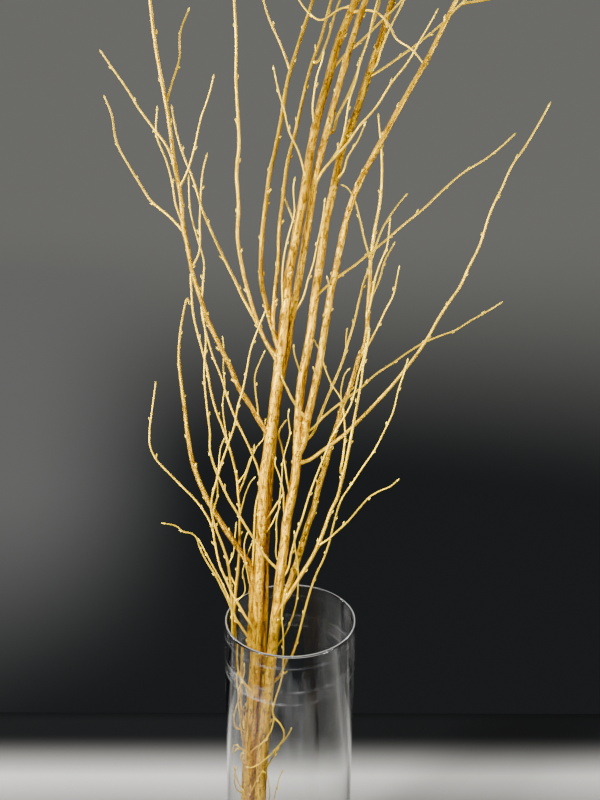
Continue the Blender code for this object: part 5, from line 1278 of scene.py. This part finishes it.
def floor():
    """The table: a slab with rounded edges, its top just under the vase's foot."""
    mesh = bpy.data.meshes.new("floor")
    corners = [(x, y, z) for z in (FLOOR_LOW.z, FLOOR_HIGH.z) for x, y in
               ((FLOOR_LOW.x, FLOOR_LOW.y), (FLOOR_HIGH.x, FLOOR_LOW.y),
                (FLOOR_HIGH.x, FLOOR_HIGH.y), (FLOOR_LOW.x, FLOOR_HIGH.y))]
    faces = [(0, 3, 2, 1), (4, 5, 6, 7), (0, 1, 5, 4), (1, 2, 6, 5), (2, 3, 7, 6), (3, 0, 4, 7)]
    mesh.from_pydata(corners, [], faces)
    mesh.materials.append(table_top())
    made = placed("floor", mesh)
    edge = made.modifiers.new("rounded", "BEVEL")
    edge.width = FLOOR_EDGE
    edge.segments = 24


def backdrop():
    """Dark below, grey above the horizon, and lighter to the left."""
    nodes = Nodes(bpy.data.worlds.new("studio"), "Background")
    axes = nodes.position("Generated")[1]
    rise, aside, down = (nodes.ramp(axes[axis], *limits, kind="SMOOTHSTEP") for axis, limits in
                         (("Z", BACKDROP_RISES), ("X", BACKDROP_LEFT), ("Z", BACKDROP_LEFT_FADES)))
    colour = nodes.mix(rise, BACKDROP_DARK, BACKDROP_GREY)
    colour = nodes.mix(nodes.math("MULTIPLY", aside, down), colour, BACKDROP_LEFT_GREY, "LIGHTEN")
    return nodes.finish(Color=colour)


def area_light(name, place, aim, size, power):
    lamp = bpy.data.lights.new(name, "AREA")
    lamp.shape = "RECTANGLE"
    lamp.size, lamp.size_y = size
    lamp.energy = power
    made = placed(name, lamp)
    made.location = place
    made.rotation_euler = (Vector(aim) - Vector(place)).to_track_quat("-Z", "Y").to_euler()


def place_camera():
    """The photograph's camera: a little to the front, above the rim, looking slightly down."""
    forward = Vector((math.sin(CAMERA_YAW) * math.cos(CAMERA_PITCH),
                      math.cos(CAMERA_YAW) * math.cos(CAMERA_PITCH), -math.sin(CAMERA_PITCH)))
    level = Vector((math.cos(CAMERA_YAW), -math.sin(CAMERA_YAW), 0.0))
    upright = level.cross(forward)
    right = level * math.cos(CAMERA_ROLL) + upright * math.sin(CAMERA_ROLL)
    top = upright * math.cos(CAMERA_ROLL) - level * math.sin(CAMERA_ROLL)
    lens = bpy.data.cameras.new("camera")
    lens.lens = CAMERA_LENS
    lens.clip_start = 0.01
    made = placed("camera", lens)
    turned = Matrix((right, top, -forward)).transposed().to_4x4()
    made.matrix_world = Matrix.Translation(CAMERA_PLACE) @ turned
    bpy.context.scene.camera = made


for row in MAIN_STEMS:
    main_stem(*row)
for row in TWIGS:
    twig(*row)
draw_crown()
BARK = gilded_bark()
for branch_name in ("branch_tall", "branch_middle", "branch_forked", "branch_side", "branch_left"):
    fine_branch(branch_name, BARK)
fine_vase(clear_glass())
floor()
bpy.context.scene.world = backdrop()
for row in LIGHTS:
    area_light(*row)
place_camera()
